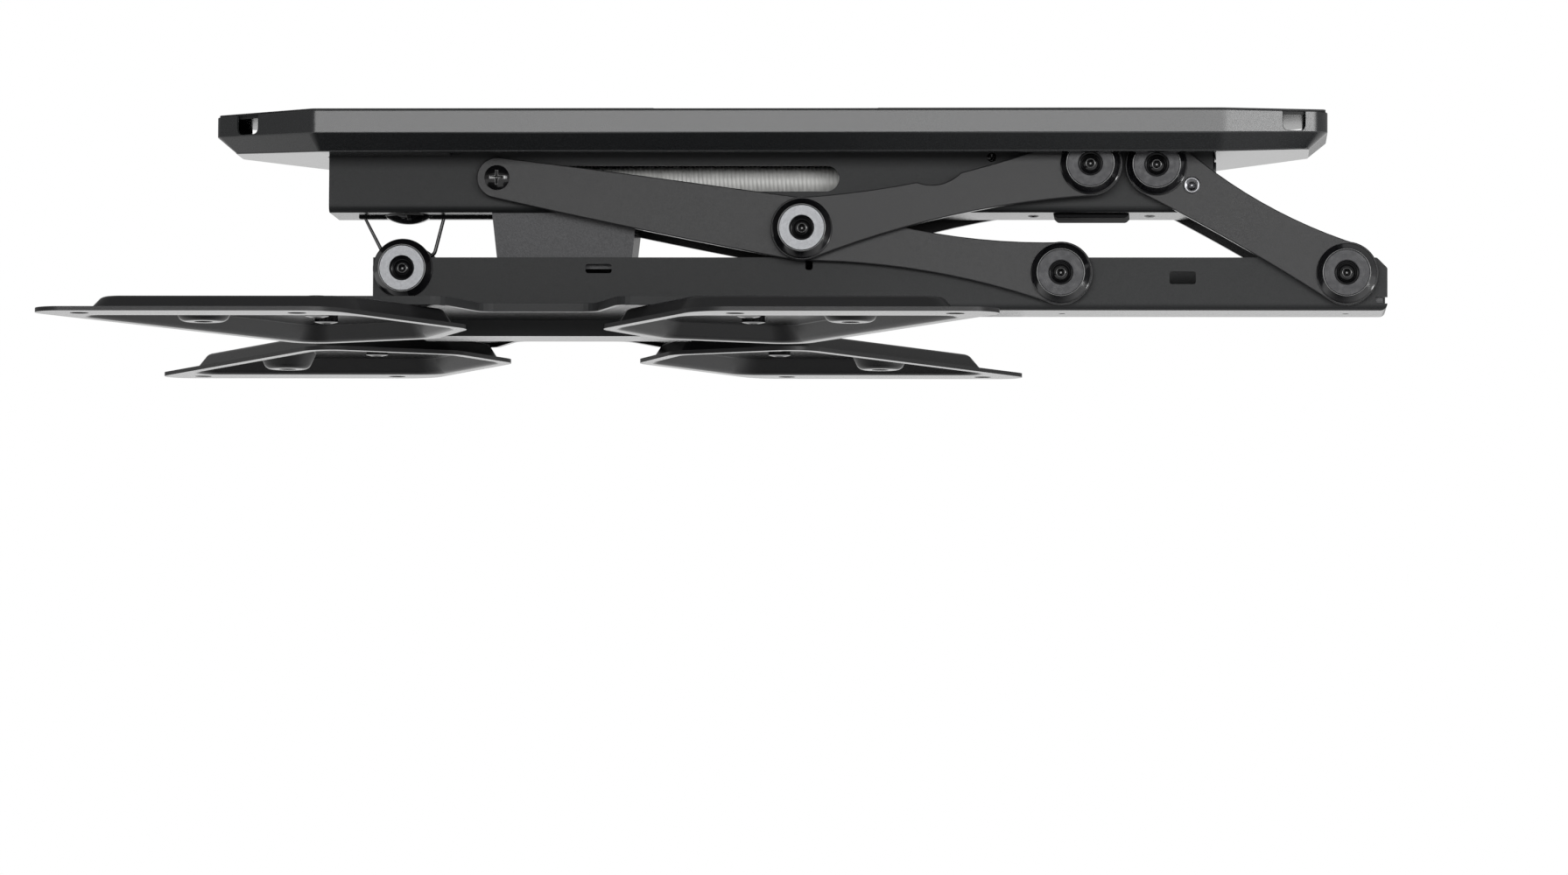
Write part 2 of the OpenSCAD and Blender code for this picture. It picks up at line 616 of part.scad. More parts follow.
// Button-head screw in a cover's recess, with its socket
head_r = 4.4;
head_h = 2.4;
socket_r = 1.6;
module pivot_screw(p, y0, drop) translate([p[0], y0 + pass_gap / 2 + pivot_cover_h - shaft_end - drop, p[1]])
  rotate([-90, 0, 0]) difference() {
    intersection() {
      cylinder(r = head_r, h = head_h);
      translate([0, 0, head_h - head_ball_r]) sphere(head_ball_r);
    }
    translate([0, 0, head_h / 2]) cylinder(r = socket_r, h = head_h, $fn = 6);
  }
head_ball_r = (head_r * head_r + head_h * head_h) / (2 * head_h);
module pivot_screws(p, y0, drop = 0) color(col_gloss) both_sides() pivot_screw(p, y0, drop);
module fixed_covers() {
  pivot_covers(lift_p, outer_face_y);
  pivot_covers(end_p, inner_face_y);
}
module fixed_pivot_screws() {
  pivot_screws(lift_p, outer_face_y);
  pivot_screws(end_p, inner_face_y);
}
small_head_r = 2.2;
tab_head_r = 3.3;
floor_head_r = 2.6;
module box_screws() color(col_gloss) {
  both_sides() {
    rod_y(saddle_screw_p, small_head_r, box_half, small_head_h);
    for (p = [lift_p, end_p]) translate([p[0], box_half + tab_w / 2, plate_low_z - box_wall - small_head_h]) {
      cylinder(r = tab_head_r, h = small_head_h);
      cylinder(d = box_screw_d, h = small_head_h + box_wall + plate_t / 2);
    }
  }
  for (i = [-1, 1]) translate([lift_p[0] + i * floor_hole_pitch / 2, 0, box_low_z - small_head_h / 2]) {
    cylinder(r = floor_head_r, h = small_head_h / 2);
    cylinder(d = floor_hole_d, h = small_head_h / 2 + box_wall);
  }
}

// Arms: each is drawn along +X from its first pivot, then turned into place
// How far an edge bows in (minus) or out, as the photo shows
long_upper_top_bow = 0.3;
long_upper_low_bow = -0.7;
long_lower_top_bow = -6.3;
long_lower_low_bow = 5.4;
waist_bow = 5.7;
end_low_bow = 1.4;
scallop_r = 19.2;
scallop_x_share = 0.49;
scallop_y = 25.6;
module placed(p, angle) translate(p) rotate(angle) children();
module lift_arm_2d() difference() {
  placed(middle_p, lift_rest_angle) difference() {
    union() {
      circle(eye_r);
      translate([lift_arm_l, 0]) circle(eye_r);
      polygon(concat(bow([0, -eye_r], [lift_arm_l, -eye_r], waist_bow), bow([lift_arm_l, eye_r], [0, eye_r], waist_bow)));
    }
    translate([lift_arm_l * scallop_x_share, scallop_y]) circle(scallop_r);
    circle(shaft_r);
    translate([lift_arm_l, 0]) circle(hole_r);
  }
}
module lift_arm_near() color(col_steel) mirror([0, 1, 0]) plate_xz(outer_arm_y, arm_t) lift_arm_2d();
module lift_arm_far() color(col_steel) plate_xz(outer_arm_y, arm_t) lift_arm_2d();
long_arm_l = long_arm_upper_l + long_arm_lower_l;
module long_arm_2d() placed(slide_p, -long_angle) difference() {
  union() {
    circle(slide_eye_r);
    translate([long_arm_upper_l, 0]) circle(eye_r);
    translate([long_arm_l, 0]) circle(eye_r);
    polygon(concat(
      bow([0, -slide_eye_r], [long_arm_upper_l, -eye_r], long_upper_low_bow),
      bow([long_arm_upper_l, -eye_r], [long_arm_l, -eye_r], long_lower_low_bow),
      bow([long_arm_l, eye_r], [long_arm_upper_l, eye_r], -long_lower_top_bow),
      bow([long_arm_upper_l, eye_r], [0, slide_eye_r], -long_upper_top_bow)));
  }
  circle(slide_screw_r);
  translate([long_arm_upper_l, 0]) circle(hole_r);
  translate([long_arm_l, 0]) circle(hole_r);
}
slide_screw_r = 4;
module long_arm_near() color(col_steel) mirror([0, 1, 0]) plate_xz(inner_arm_y, arm_t) long_arm_2d();
module long_arm_far() color(col_steel) plate_xz(inner_arm_y, arm_t) long_arm_2d();
// Cross-head pan screws that hold the long arms to the carriage pins
pan_head_r = 6;
pan_head_h = 2.6;
cross_w = 1.3;
cross_l = 6;
module slide_screws() color(col_gloss) both_sides() difference() {
  union() {
    rod_y(slide_p, slide_screw_r, inner_arm_y, arm_t);
    rod_y(slide_p, pan_head_r, inner_face_y, pan_head_h);
  }
  for (a = [0, 90]) translate([slide_p[0], inner_face_y + pan_head_h, slide_p[1]]) rotate([0, a, 0])
    cube([cross_l, pan_head_h, cross_w], center = true);
}
module long_arm_spacers() color(col_zinc) both_sides()
  ring_y(middle_p, spacer_r, hole_r, inner_face_y, side_gap - pass_gap / 2);
module end_arm_2d() placed(end_p, end_angle) difference() {
  union() {
    circle(eye_r);
    translate([end_arm_l, 0]) circle(eye_r);
    polygon(concat(bow([0, -eye_r], [end_arm_l, -eye_r], end_low_bow), bow([end_arm_l, eye_r], [0, eye_r], waist_bow)));
  }
  circle(hole_r);
  translate([stop_screw_x, 0]) circle(stop_screw_r);
}
stop_share = 1.27;
stop_screw_x = eye_r * stop_share;
stop_screw_r = 2;
stop_head_r = 4;
stop_head_h = 2.2;
module end_arm_near() color(col_steel) mirror([0, 1, 0]) plate_xz(inner_arm_y, arm_t) end_arm_2d();
module end_arm_far() color(col_steel) plate_xz(inner_arm_y, arm_t) end_arm_2d();
stop_p = end_p + stop_screw_x * [cos(end_angle), sin(end_angle)];
module stop_screws() color(col_gloss) both_sides() difference() {
  union() {
    rod_y(stop_p, stop_screw_r, inner_arm_y, arm_t);
    rod_y(stop_p, stop_head_r, inner_face_y, stop_head_h);
  }
  translate([stop_p[0], inner_face_y + stop_head_h / 2, stop_p[1]]) rotate([-90, 0, 0])
    cylinder(r = socket_r, h = stop_head_h, $fn = 6);
}
module end_covers() pivot_covers(rail_end_p, inner_face_y - pass_gap / 2);
module end_pivot_screws() pivot_screws(rail_end_p, inner_face_y - pass_gap / 2);
module middle_shaft() color(col_screw) rod_y(middle_p, shaft_r, -outer_face_y, 2 * outer_face_y);
module middle_covers() pivot_covers(middle_p, outer_face_y - pass_gap / 2, washer_t);
module middle_washers() bright_washers(middle_p, outer_face_y - pass_gap / 2);
module middle_pivot_screws() pivot_screws(middle_p, outer_face_y - pass_gap / 2, washer_t);

// Rail
rail_half = box_half;
rail_in = rail_half - rail_wall;
side_slot_l = 12.6;
side_slot_h = [4.5, 6];
// Places of the slots in the rail's sides, from the rail pivot
side_slot_at = [[-222, 2.6], [58, -1.8]];
key_slot_w = 3.5;
key_slot_l = 7.4;
key_slot_at = [-120.8, 5.6];
side_slot_r = 1.2;
// Slots in the rail's near side
module rail_slot(at, l, h, r) translate(rail_p + at)
  polygon(round_path([[-l / 2, -h / 2], [l / 2, -h / 2], [l / 2, h / 2], [-l / 2, h / 2]], [r, r, r, r]));
module rail_slots_2d() {
  for (i = [0, 1]) rail_slot(side_slot_at[i], side_slot_l, side_slot_h[i], side_slot_r);
  rail_slot(key_slot_at, key_slot_w, key_slot_l, side_slot_r);
}
tail_cut = 5;
tail_notch_l = 5.5;
tail_notch_h = 3;
floor_cut_share = 2.9;
floor_cut_l = floor_cut_share * tilt_ear_r;
module rail_side_2d() difference() {
  union() {
    polygon(round_path([[rail_left_x, rail_low_z], [rail_right_x, rail_low_z],
      [rail_right_x, rail_top_z - tail_cut], [rail_right_x - tail_cut, rail_top_z], [rail_left_x, rail_top_z]],
      [0, rail_edge_r, rail_edge_r / 2, rail_edge_r / 2, 0]));
    translate(tilt_p) circle(tilt_ear_r);
  }
  translate([rail_right_x - tail_notch_l, rail_low_z + rail_edge_r]) square([2 * tail_notch_l, tail_notch_h]);
  for (p = [rail_p, rail_end_p]) translate(p) circle(shaft_r);
  translate(tilt_p) circle(tilt_shaft_r);
}
module rail_channel() color(col_steel) difference() {
  intersection() {
    run_x(rail_left_x, rail_right_x - rail_left_x)
      polygon(channel(rail_half, rail_wall, rail_top_z + tilt_ear_r, rail_low_z, rail_edge_r));
    plate_xz(-rail_half, 2 * rail_half) rail_side_2d();
  }
  plate_xz(-rail_half - over, rail_wall + 2 * over) rail_slots_2d();
  block([rail_left_x - over, -rail_in, rail_low_z - over], [rail_left_x + floor_cut_l, rail_in, tilt_p[1] - tilt_ear_r / 2]);
  for (p = [rail_p, rail_end_p]) translate([p[0], 0, rail_low_z - over]) cylinder(d = floor_hole_d, h = rail_wall + 2 * over);
}
module rail_end_cap() color(col_plastic) difference() {
  block([rail_right_x - 2 * tail_notch_l, -rail_in, rail_low_z + rail_edge_r], [rail_right_x - rail_wall, rail_in, rail_top_z - tail_cut]);
  block([rail_right_x - 3 * tail_notch_l, -rail_in + rail_wall, rail_low_z + rail_edge_r + rail_wall],
    [rail_right_x - 2 * rail_wall, rail_in - rail_wall, rail_top_z]);
}
module rail_shafts() color(col_screw) {
  rod_y(rail_p, shaft_r, -inner_face_y - pass_gap / 2, 2 * inner_face_y + pass_gap);
  rod_y(rail_end_p, shaft_r, -rail_half, 2 * rail_half);
  rod_y(tilt_p, tilt_shaft_r, -rail_half, 2 * rail_half);
}
module rail_covers() {
  pivot_covers(rail_p, inner_face_y);
  pivot_covers(tilt_p, rail_half - pass_gap / 2, washer_t);
}
module tilt_washers() bright_washers(tilt_p, rail_half - pass_gap / 2);
module rail_pivot_screws() {
  pivot_screws(rail_p, inner_face_y);
  pivot_screws(tilt_p, rail_half - pass_gap / 2, washer_t);
}

// Television bracket
hinge_t = 3;
hinge_r = 9;
hinge_y = rail_in - side_gap - hinge_t;
hinge_right_x = rail_left_x + floor_cut_l - side_gap - 2 * hinge_t;
module hinge_2d() difference() {
  union() {
    translate(tilt_p) circle(hinge_r);
    polygon([tilt_p + [-hinge_r, 0], [tilt_p[0] - hinge_r, spider_top_z], [hinge_right_x, spider_top_z],
      [hinge_right_x, spider_top_z + hinge_r], tilt_p + [hinge_r, 0]]);
  }
  translate(tilt_p) circle(tilt_shaft_r + run_gap);
}
module tilt_hinge() color(col_steel) {
  both_sides() plate_xz(hinge_y, hinge_t) hinge_2d();
  block([tilt_p[0] + hinge_t, -hinge_y, spider_top_z], [hinge_right_x, hinge_y, spider_top_z + hinge_t]);
}
// Spider outline: one quarter, then mirrored to the other three
waist_l_share = 0.23;
waist_d_share = 0.69;
lobe_share = 0.35;
inner_share = 0.42;
waist_half_l = spider_half_l * waist_l_share;
waist_half_d = spider_half_d * waist_d_share;
lobe_x = spider_half_l * lobe_share;
side_half_l = bracket_offset - hinge_r / 2;
quarter = [[side_half_l, 0], [side_half_l, rail_half + 2 * hinge_t], [spider_half_l, spider_half_d * inner_share],
  [spider_half_l, spider_half_d], [lobe_x, spider_half_d], [waist_half_l, waist_half_d], [0, waist_half_d]];
quarter_r = [0, 6, 10, 12, 8, 8, 0];
function mirrored_quarters() = let (q = quarter, r = quarter_r, n = len(quarter) - 1)
  [concat([for (i = [1 : n - 1]) q[i]], [for (i = [n - 1 : -1 : 1]) [-q[i][0], q[i][1]]],
    [for (i = [1 : n - 1]) [-q[i][0], -q[i][1]]], [for (i = [n - 1 : -1 : 1]) [q[i][0], -q[i][1]]]),
    concat([for (i = [1 : n - 1]) r[i]], [for (i = [n - 1 : -1 : 1]) r[i]],
    [for (i = [1 : n - 1]) r[i]], [for (i = [n - 1 : -1 : 1]) r[i]])];
function inset_any(pts, gap) = let (m = len(pts))
  [for (i = [0 : m - 1])
    let (a = unit(pts[i] - pts[(i + m - 1) % m]), b = unit(pts[(i + 1) % m] - pts[i]))
    let (na = [-a[1], a[0]], nb = [-b[1], b[0]]) pts[i] + (na + nb) * gap / (1 + na * nb)];
bolt_edge = 16;
bolt_edges = [12, 47];
bolt_x = spider_half_l - bolt_edge;
bolt_y = [for (e = bolt_edges) spider_half_d - e];
bolt_r = 3;
bolt_pad_r = 7.8;
rib_half = 16;
rib_h = 5.7;
rib_half_l = side_half_l - hinge_t;
module spider_plate() color(col_steel) translate([bracket_x, 0, 0]) {
  outline = mirrored_quarters();
  difference() {
    translate([0, 0, pan_top_z]) linear_extrude(spider_rim_h) polygon(round_path(outline[0], outline[1], 4));
    translate([0, 0, pan_top_z - over]) linear_extrude(spider_rim_h - spider_t + over) difference() {
      polygon(round_path(inset_any(outline[0], spider_t), [for (r = outline[1]) max(r - spider_t, spider_t / 2)], 4));
      for (sx = [-1, 1], sy = [-1, 1], y = bolt_y) translate([sx * bolt_x, sy * y]) circle(bolt_pad_r);
      square([2 * rib_half_l, 2 * rib_half], center = true);
    }
    for (sx = [-1, 1], sy = [-1, 1], y = bolt_y) translate([sx * bolt_x, sy * y, pan_top_z - over])
      cylinder(r = bolt_r, h = spider_rim_h + 2 * over);
  }
  block([-rib_half_l, -rib_half, pan_top_z - rib_h], [rib_half_l, rib_half, pan_top_z]);
}
// Pressed arm, drawn from its corner hole: u runs inwards along X, v inwards along Y
arm_pts = [[-29.2, -14], [116.5, -14], [169.5, 92], [147.5, 150], [81.5, 186]];
arm_r = [13, 22, 20, 18, 16];
press_slope = 6;
pan_foot_share = 0.8;
pan_top_share = 0.6;
arm_gaps = [wide_flange, narrow_flange, narrow_flange, narrow_flange, narrow_flange];
boss_p = [(vesa_large - vesa_small) / 2, (vesa_large - vesa_small) / 2];
module arm_slab(pts, z0, t) translate([0, 0, z0]) linear_extrude(t) polygon(pts);
module pan_body(low_gap, z0, z1) hull() {
  arm_slab(round_path(inset(arm_pts, arm_gaps + even(5, low_gap)), arm_r * pan_foot_share, 5), z0, eps);
  arm_slab(round_path(inset(arm_pts, arm_gaps + even(5, low_gap + press_slope)), arm_r * pan_top_share, 5), z1 - eps, eps);
}
module pressed_arm() difference() {
  union() {
    difference() {
      union() {
        arm_slab(round_path(arm_pts, arm_r, 6), tv_z, press_t);
        pan_body(0, tv_z, pan_top_z);
      }
      pan_body(press_t, tv_z - eps, pan_top_z - press_t);
    }
    translate([boss_p[0], boss_p[1], tv_z]) rotate_extrude() polygon([[0, 0], [boss_r - press_t, 0],
      [boss_r + press_t, pan_h - press_t / 2], [boss_r - press_t / 2, pan_h - press_t / 2], [boss_r - 2 * press_t, press_t], [0, press_t]]);
  }
  translate([boss_p[0], boss_p[1], tv_z + press_t]) rotate_extrude() polygon([[0, 0], [boss_r - 2 * press_t, 0],
    [boss_r, pan_h], [0, pan_h]]);
  translate([boss_p[0], boss_p[1], tv_z - over]) cylinder(d = vesa_hole_d, h = press_t + 2 * over);
  for (u = [0, (vesa_large - vesa_short) / 2]) translate([u, 0, tv_z - over]) cylinder(d = vesa_hole_d, h = press_t + 2 * over);
  for (y = bolt_y) translate([vesa_large / 2 - bolt_x, vesa_large / 2 - y, tv_z - over]) cylinder(r = bolt_r, h = pan_h + 2 * over);
}
module arm_at(sx, sy) color(col_steel) translate([bracket_x, 0, 0]) mirror([sx > 0 ? 1 : 0, 0, 0])
  mirror([0, sy > 0 ? 1 : 0, 0]) translate([-vesa_large / 2, -vesa_large / 2, 0]) pressed_arm();
module bracket_arm_near_left() arm_at(-1, -1);
module bracket_arm_near_right() arm_at(1, -1);
module bracket_arm_far_left() arm_at(-1, 1);
module bracket_arm_far_right() arm_at(1, 1);
bolt_head_r = 5.5;
bolt_head_h = 3.4;
clinch_h = 0.8;
module bracket_bolts() color(col_gloss) translate([bracket_x, 0, 0])
  for (sx = [-1, 1], sy = [-1, 1], y = bolt_y) translate([sx * bolt_x, sy * y, 0]) {
    translate([0, 0, pan_top_z - press_t - bolt_head_h]) difference() {
      cylinder(r = bolt_head_r, h = bolt_head_h);
      translate([0, 0, -over]) cylinder(r = bolt_r, h = bolt_head_h / 2 + over, $fn = 6);
    }
    translate([0, 0, pan_top_z - press_t]) cylinder(r = bolt_r, h = press_t + spider_rim_h);
    translate([0, 0, spider_top_z]) cylinder(r = bolt_head_r, h = clinch_h);
  }

ceiling_plate();
cover_shell();
drive_box();
box_end_left();
box_end_right();
drive_motor();
motor_gearbox();
motor_saddle();
screw_supports();
screw_bearings();
guide_rods();
limit_switches();
control_box();
control_board();
ir_lens();
cable_guide();
power_inlet();
underside_cap();
lift_pivot_shaft();
end_pivot_shaft();
fixed_spacers();
fixed_covers();
fixed_pivot_screws();
box_screws();
lead_screw();
screw_coupling();
carriage_block();
carriage_nut();
carriage_pins();
lift_arm_near();
lift_arm_far();
middle_shaft();
middle_covers();
middle_washers();
middle_pivot_screws();
long_arm_near();
long_arm_far();
slide_screws();
long_arm_spacers();
end_arm_near();
end_arm_far();
end_covers();
end_pivot_screws();
stop_screws();
rail_channel();
rail_end_cap();
rail_shafts();
rail_covers();
tilt_washers();
rail_pivot_screws();
tilt_hinge();
spider_plate();
bracket_arm_near_left();
bracket_arm_near_right();
bracket_arm_far_left();
bracket_arm_far_right();
bracket_bolts();
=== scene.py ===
# Looks of a motorised flip-down ceiling mount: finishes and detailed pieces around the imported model.
# Everything is in metres in the frame of the part: X along the ceiling plate, Y across it, Z up.
import json
from math import cos, pi, radians

import bmesh
import bpy
import numpy as np
from mathutils import Matrix, Vector
from mathutils.geometry import delaunay_2d_cdt


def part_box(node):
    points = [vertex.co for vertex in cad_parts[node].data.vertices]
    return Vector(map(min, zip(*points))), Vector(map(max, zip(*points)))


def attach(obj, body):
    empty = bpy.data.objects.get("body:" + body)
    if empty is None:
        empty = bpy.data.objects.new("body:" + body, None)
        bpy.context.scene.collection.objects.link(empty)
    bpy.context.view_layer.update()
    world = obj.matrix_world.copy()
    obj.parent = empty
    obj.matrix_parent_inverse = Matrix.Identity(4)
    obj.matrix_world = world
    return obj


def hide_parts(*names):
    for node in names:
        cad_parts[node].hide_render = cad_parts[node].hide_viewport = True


bl_info = {
    "name": "Motorised Ceiling Mount",
    "version": (1, 0, 0),
    "blender": (4, 5, 0),
    "location": "View3D > Sidebar > Ceiling Mount",
    "description": "Dresses the flip-down television ceiling mount with its finishes and small parts",
    "category": "Add Mesh",
}

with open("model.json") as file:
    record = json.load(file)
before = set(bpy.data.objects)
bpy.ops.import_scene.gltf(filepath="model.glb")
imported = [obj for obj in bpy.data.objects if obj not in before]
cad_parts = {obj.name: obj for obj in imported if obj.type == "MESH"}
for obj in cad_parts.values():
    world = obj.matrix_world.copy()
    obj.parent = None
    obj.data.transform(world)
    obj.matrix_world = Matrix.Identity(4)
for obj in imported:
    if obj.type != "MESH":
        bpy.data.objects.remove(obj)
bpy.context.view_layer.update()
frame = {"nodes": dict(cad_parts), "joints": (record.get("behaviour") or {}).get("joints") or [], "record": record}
MM = 0.001
nodes = frame["nodes"]
joint = {j["name"]: j for j in frame["joints"]}
NEAR, FAR = -1, 1


def gamma_rgb(hex_colour):
    """An sRGB hex colour as three shares."""
    return tuple(int(hex_colour[i:i + 2], 16) / 255 for i in (1, 3, 5))


def linear(colour):
    """Linear RGBA of an sRGB colour: a straight toe, then a power of 2.4."""
    c = np.array(colour[:3], float)
    toe = c <= 0.04045
    return (*np.where(toe, c / 12.92, ((c + 0.055) / 1.055) ** 2.4), 1.0)


def limits(node):
    """Lowest and highest corner of a node's box."""
    return np.array(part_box(node))


def centre(node):
    """Middle of a node's box."""
    return limits(node).mean(0)


def pivot(name):
    """Place of a hinge in the XZ plane."""
    return np.array(joint[name]["pos_m"])[[0, 2]]


def length(label, text, value):
    """A length whose default is in millimetres."""
    return bpy.props.FloatProperty(name=label, description=text, default=value * MM, unit="LENGTH", precision=4)


def colour(label, text, value):
    """A colour whose default is sRGB hex."""
    return bpy.props.FloatVectorProperty(
        name=label, description=text, default=gamma_rgb(value), subtype="COLOR_GAMMA", size=3, min=0, max=1)


class MountSizes(bpy.types.PropertyGroup):
    """Sizes of the finish; the others come from the frame."""
    steel_edge: length("Steel edge radius", "Rounding of the coated sheet", 0.45)
    cover_edge: length("Cover edge radius", "Rounding of the cover", 1.0)
    moulded_edge: length("Moulded edge radius", "Rounding of the small mouldings", 0.7)
    metal_edge: length("Machined edge", "Chamfer of turned and milled pieces", 0.3)
    thread_pitch: length("Thread pitch", "Distance between two ridges", 2.0)
    thread_lead: length("Thread lead", "Travel of the nut in one turn", 4.0)
    thread_depth: length("Thread depth", "Depth of the lead screw's thread", 0.22)
    cover_h: length("Cover height", "Height of a pivot cover", 5.5)
    cover_rim: length("Cover rim", "Height of a pivot cover's straight rim", 1.0)
    run_gap: length("Running gap", "Gap under a cover whose arm turns", 0.25)
    ring_r: length("Ring radius", "Outer radius of a cover's flat ring", 11)
    recess_r: length("Recess radius", "Radius of a pivot cover's recess", 5.8)
    seat_h: length("Seat height", "Height of the screw's seat in a dark cover", 3.025)
    ring_t: length("Ring thickness", "Thickness of rings and washers", 1.2)
    head_r: length("Button head radius", "Radius of a pivot's screw head", 4.4)
    head_h: length("Button head height", "Height of a pivot's screw head", 2.4)
    socket_r: length("Socket radius", "Radius of the socket across its corners", 1.9)
    cross_l: length("Cross length", "Length of the cross of a slot screw", 6.4)
    cross_w: length("Cross width", "Width of the cross of a slot screw", 1.3)
    press_t: length("Pressed sheet", "Thickness of the bracket's arms", 2.0)
    wide_flange: length("Wide flange", "Flange with the outer holes of an arm", 26)
    narrow_flange: length("Narrow flange", "Flange round the rest of an arm", 5)
    press_slope: length("Press slope", "Run of an arm's pressed wall", 6)
    boss_r: length("Boss radius", "Radius of an arm's boss", 13.5)
    tv_hole_r: length("Television hole radius", "Radius of the television's screw holes", 4.3)


class MountColours(bpy.types.PropertyGroup):
    """Colours of the finishes."""
    powder: colour("Box and rail", "Matt powder coat of box and rail", "#151617")
    satin: colour("Arms", "Satin powder coat on the arms", "#171718")
    cover: colour("Cover", "Moulded cover of the ceiling plate", "#1c1d1e")
    textured: colour("Control box", "Textured moulding", "#232326")
    gloss: colour("Pivot covers", "Glossy moulding", "#0d0d0f")
    ring: colour("Cover rings", "Flat rings of the dark pivot covers", "#3a3a3c")
    screw: colour("Black screws", "Black-oxide screws", "#0a0a0b")
    nickel: colour("Stop screws", "Black nickel on the stop screws", "#626264")
    rubber: colour("Rubber", "Underside cap", "#0e0e0f")
    zinc: colour("Zinc plating", "Zinc plate on washers and mounts", "#b9babb")
    bright: colour("Bright steel", "Turned and ground steel", "#c9c9c7")
    washer: colour("Washers", "Dulled zinc plate on the washers", "#747577")
    thread: colour("Lead screw", "Rolled steel of the lead screw", "#b4b4b2")
    bronze: colour("Bronze", "Nut of the lead screw", "#b08a4c")
    board: colour("Circuit board", "Solder mask", "#245c36")


class StudioSettings(bpy.types.PropertyGroup):
    """Camera and light."""
    fill: bpy.props.FloatProperty(name="Fill", description="Strength of the even light", default=0.4)
    key: bpy.props.FloatProperty(name="Key", description="Power of the front softbox", default=110, unit="POWER")
    lens: bpy.props.FloatProperty(name="Lens", description="Focal length", default=160.63, unit="CAMERA")


def sizes():
    return bpy.context.scene.mount_sizes


def add(tree, kind, inputs=(), **settings):
    """Adds one shader node; inputs gives its sockets, in order or by name, a value or a link."""
    node = tree.nodes.new("ShaderNode" + kind)
    for key, value in settings.items():
        setattr(node, key, value)
    for key, value in (inputs if isinstance(inputs, dict) else dict(enumerate(inputs))).items():
        if isinstance(value, bpy.types.Node):
            value = value.outputs[0]
        if isinstance(value, bpy.types.NodeSocket):
            tree.links.new(value, node.inputs[key])
        else:
            node.inputs[key].default_value = value
    return node


def new_tree(data):
    """The emptied node tree of a material or a world."""
    data.use_nodes = True
    data.node_tree.nodes.clear()
    return data.node_tree


def shade(rgba, share):
    """A linear colour made lighter or darker."""
    return (*(min(1.0, c * share) for c in rgba[:3]), 1.0)


MIDDLE = (0.35, 0.65)
FLAT_ANGLE = (0.72, 0.93)


def patterned(name, base, grains, roughness, bumps, tint=None, edgewise=None, drawn=1, gloss=0.5, metal=0):
    """Makes a material from noise on Object coordinates.

    grains has the size in metres, detail and roughness of each noise; the others start with a noise's number.
    roughness has its two ends, a bump its strength and depth, tint two shares of the base colour and the part of
    the noise between them. edgewise is the roughness at a flat angle, where lacquer and plastic look glossier.
    """
    base = linear(base)
    material = bpy.data.materials.new(name)
    tree = new_tree(material)
    place = add(tree, "TexCoord").outputs["Object"]
    place = add(tree, "Mapping", {"Vector": place, "Scale": (1, drawn, drawn)})
    noise = [add(tree, "TexNoise", {"Vector": place, "Scale": 1 / grain, "Detail": detail, "Roughness": rough})
             for grain, detail, rough in grains]
    which, *ends = roughness
    rough = add(tree, "MapRange", (noise[which], *MIDDLE, *ends))
    if edgewise is not None:
        facing = add(tree, "LayerWeight", {"Blend": 0.5}).outputs["Facing"]
        flat = add(tree, "MapRange", (facing, *FLAT_ANGLE, 0, 1))
        rough = add(tree, "Mix", {0: flat, 2: rough, 3: edgewise}, data_type="FLOAT")
    if tint:
        which, dark, light, *part = tint
        share = add(tree, "MapRange", (noise[which], *part, 0, 1))
        ends = {0: share, 6: shade(base, dark), 7: shade(base, light)}
        base = add(tree, "Mix", ends, data_type="RGBA").outputs[2]
    normal = {}
    for which, strength, depth in bumps:
        bump = {"Height": noise[which], "Strength": strength, "Distance": depth, **normal}
        normal = {"Normal": add(tree, "Bump", bump)}
    shader = add(tree, "BsdfPrincipled", {
        "Base Color": base, "Roughness": rough, "Metallic": metal, "Specular IOR Level": gloss, **normal})
    add(tree, "OutputMaterial", {"Surface": shader})
    return material


def powder_coat(name, base, rough, edgewise):
    """Sprayed and baked polyester: a soft orange peel with a finer grain in it."""
    return patterned(
        name, base, ((1.6 * MM, 1, 0.5), (0.35 * MM, 3, 0.7), (0.5 * MM, 2, 0.5)), (1, rough - 0.06, rough + 0.08),
        ((0, 0.25, 0.05 * MM), (1, 0.35, 0.03 * MM)), (2, 0.88, 1.14, *MIDDLE), edgewise, gloss=0.3)


def moulded(name, base, rough, grain, depth, contrast, edgewise=0.2, gloss=0.5):
    """Plastic from a spark-eroded tool: fine pits that catch light and look like speckle."""
    return patterned(name, base, ((grain, 2.5, 0.65),), (0, rough + 0.05, rough - 0.05), ((0, 0.5, depth),),
                     (0, 1 - contrast, 1 + contrast, 0.3, 0.7), edgewise, gloss=gloss)


def polished_plastic(name, base, rough, gloss=0.5):
    """Smooth plastic or oxide: faint polishing marks that soften the highlights."""
    return patterned(name, base, ((2.5 * MM, 2, 0.5), (0.6 * MM, 1, 0.5)), (0, rough * 0.8, rough * 1.3),
                     ((1, 0.06, 0.03 * MM),), gloss=gloss)


def plated(name, base, rough, grain, contrast):
    """Zinc plate: a metal whose fine crystals give light and dark specks."""
    return patterned(name, base, ((grain, 3, 0.7), (grain * 3, 2, 0.5)), (1, rough - 0.03, rough + 0.05),
                     ((0, 0.3, 0.02 * MM),), (0, 1 - contrast, 1 + contrast / 2, *MIDDLE), metal=1)


def turned_steel(name, base, rough, pitch, metal=1):
    """Turned metal: rings round the turning axis, as noise drawn out across X."""
    return patterned(name, base, ((pitch, 3, 0.6),), (0, rough - 0.08, rough + 0.1), ((0, 0.2, 0.02 * MM),),
                     (0, 0.86, 1.08, *MIDDLE), drawn=0.06, metal=metal)


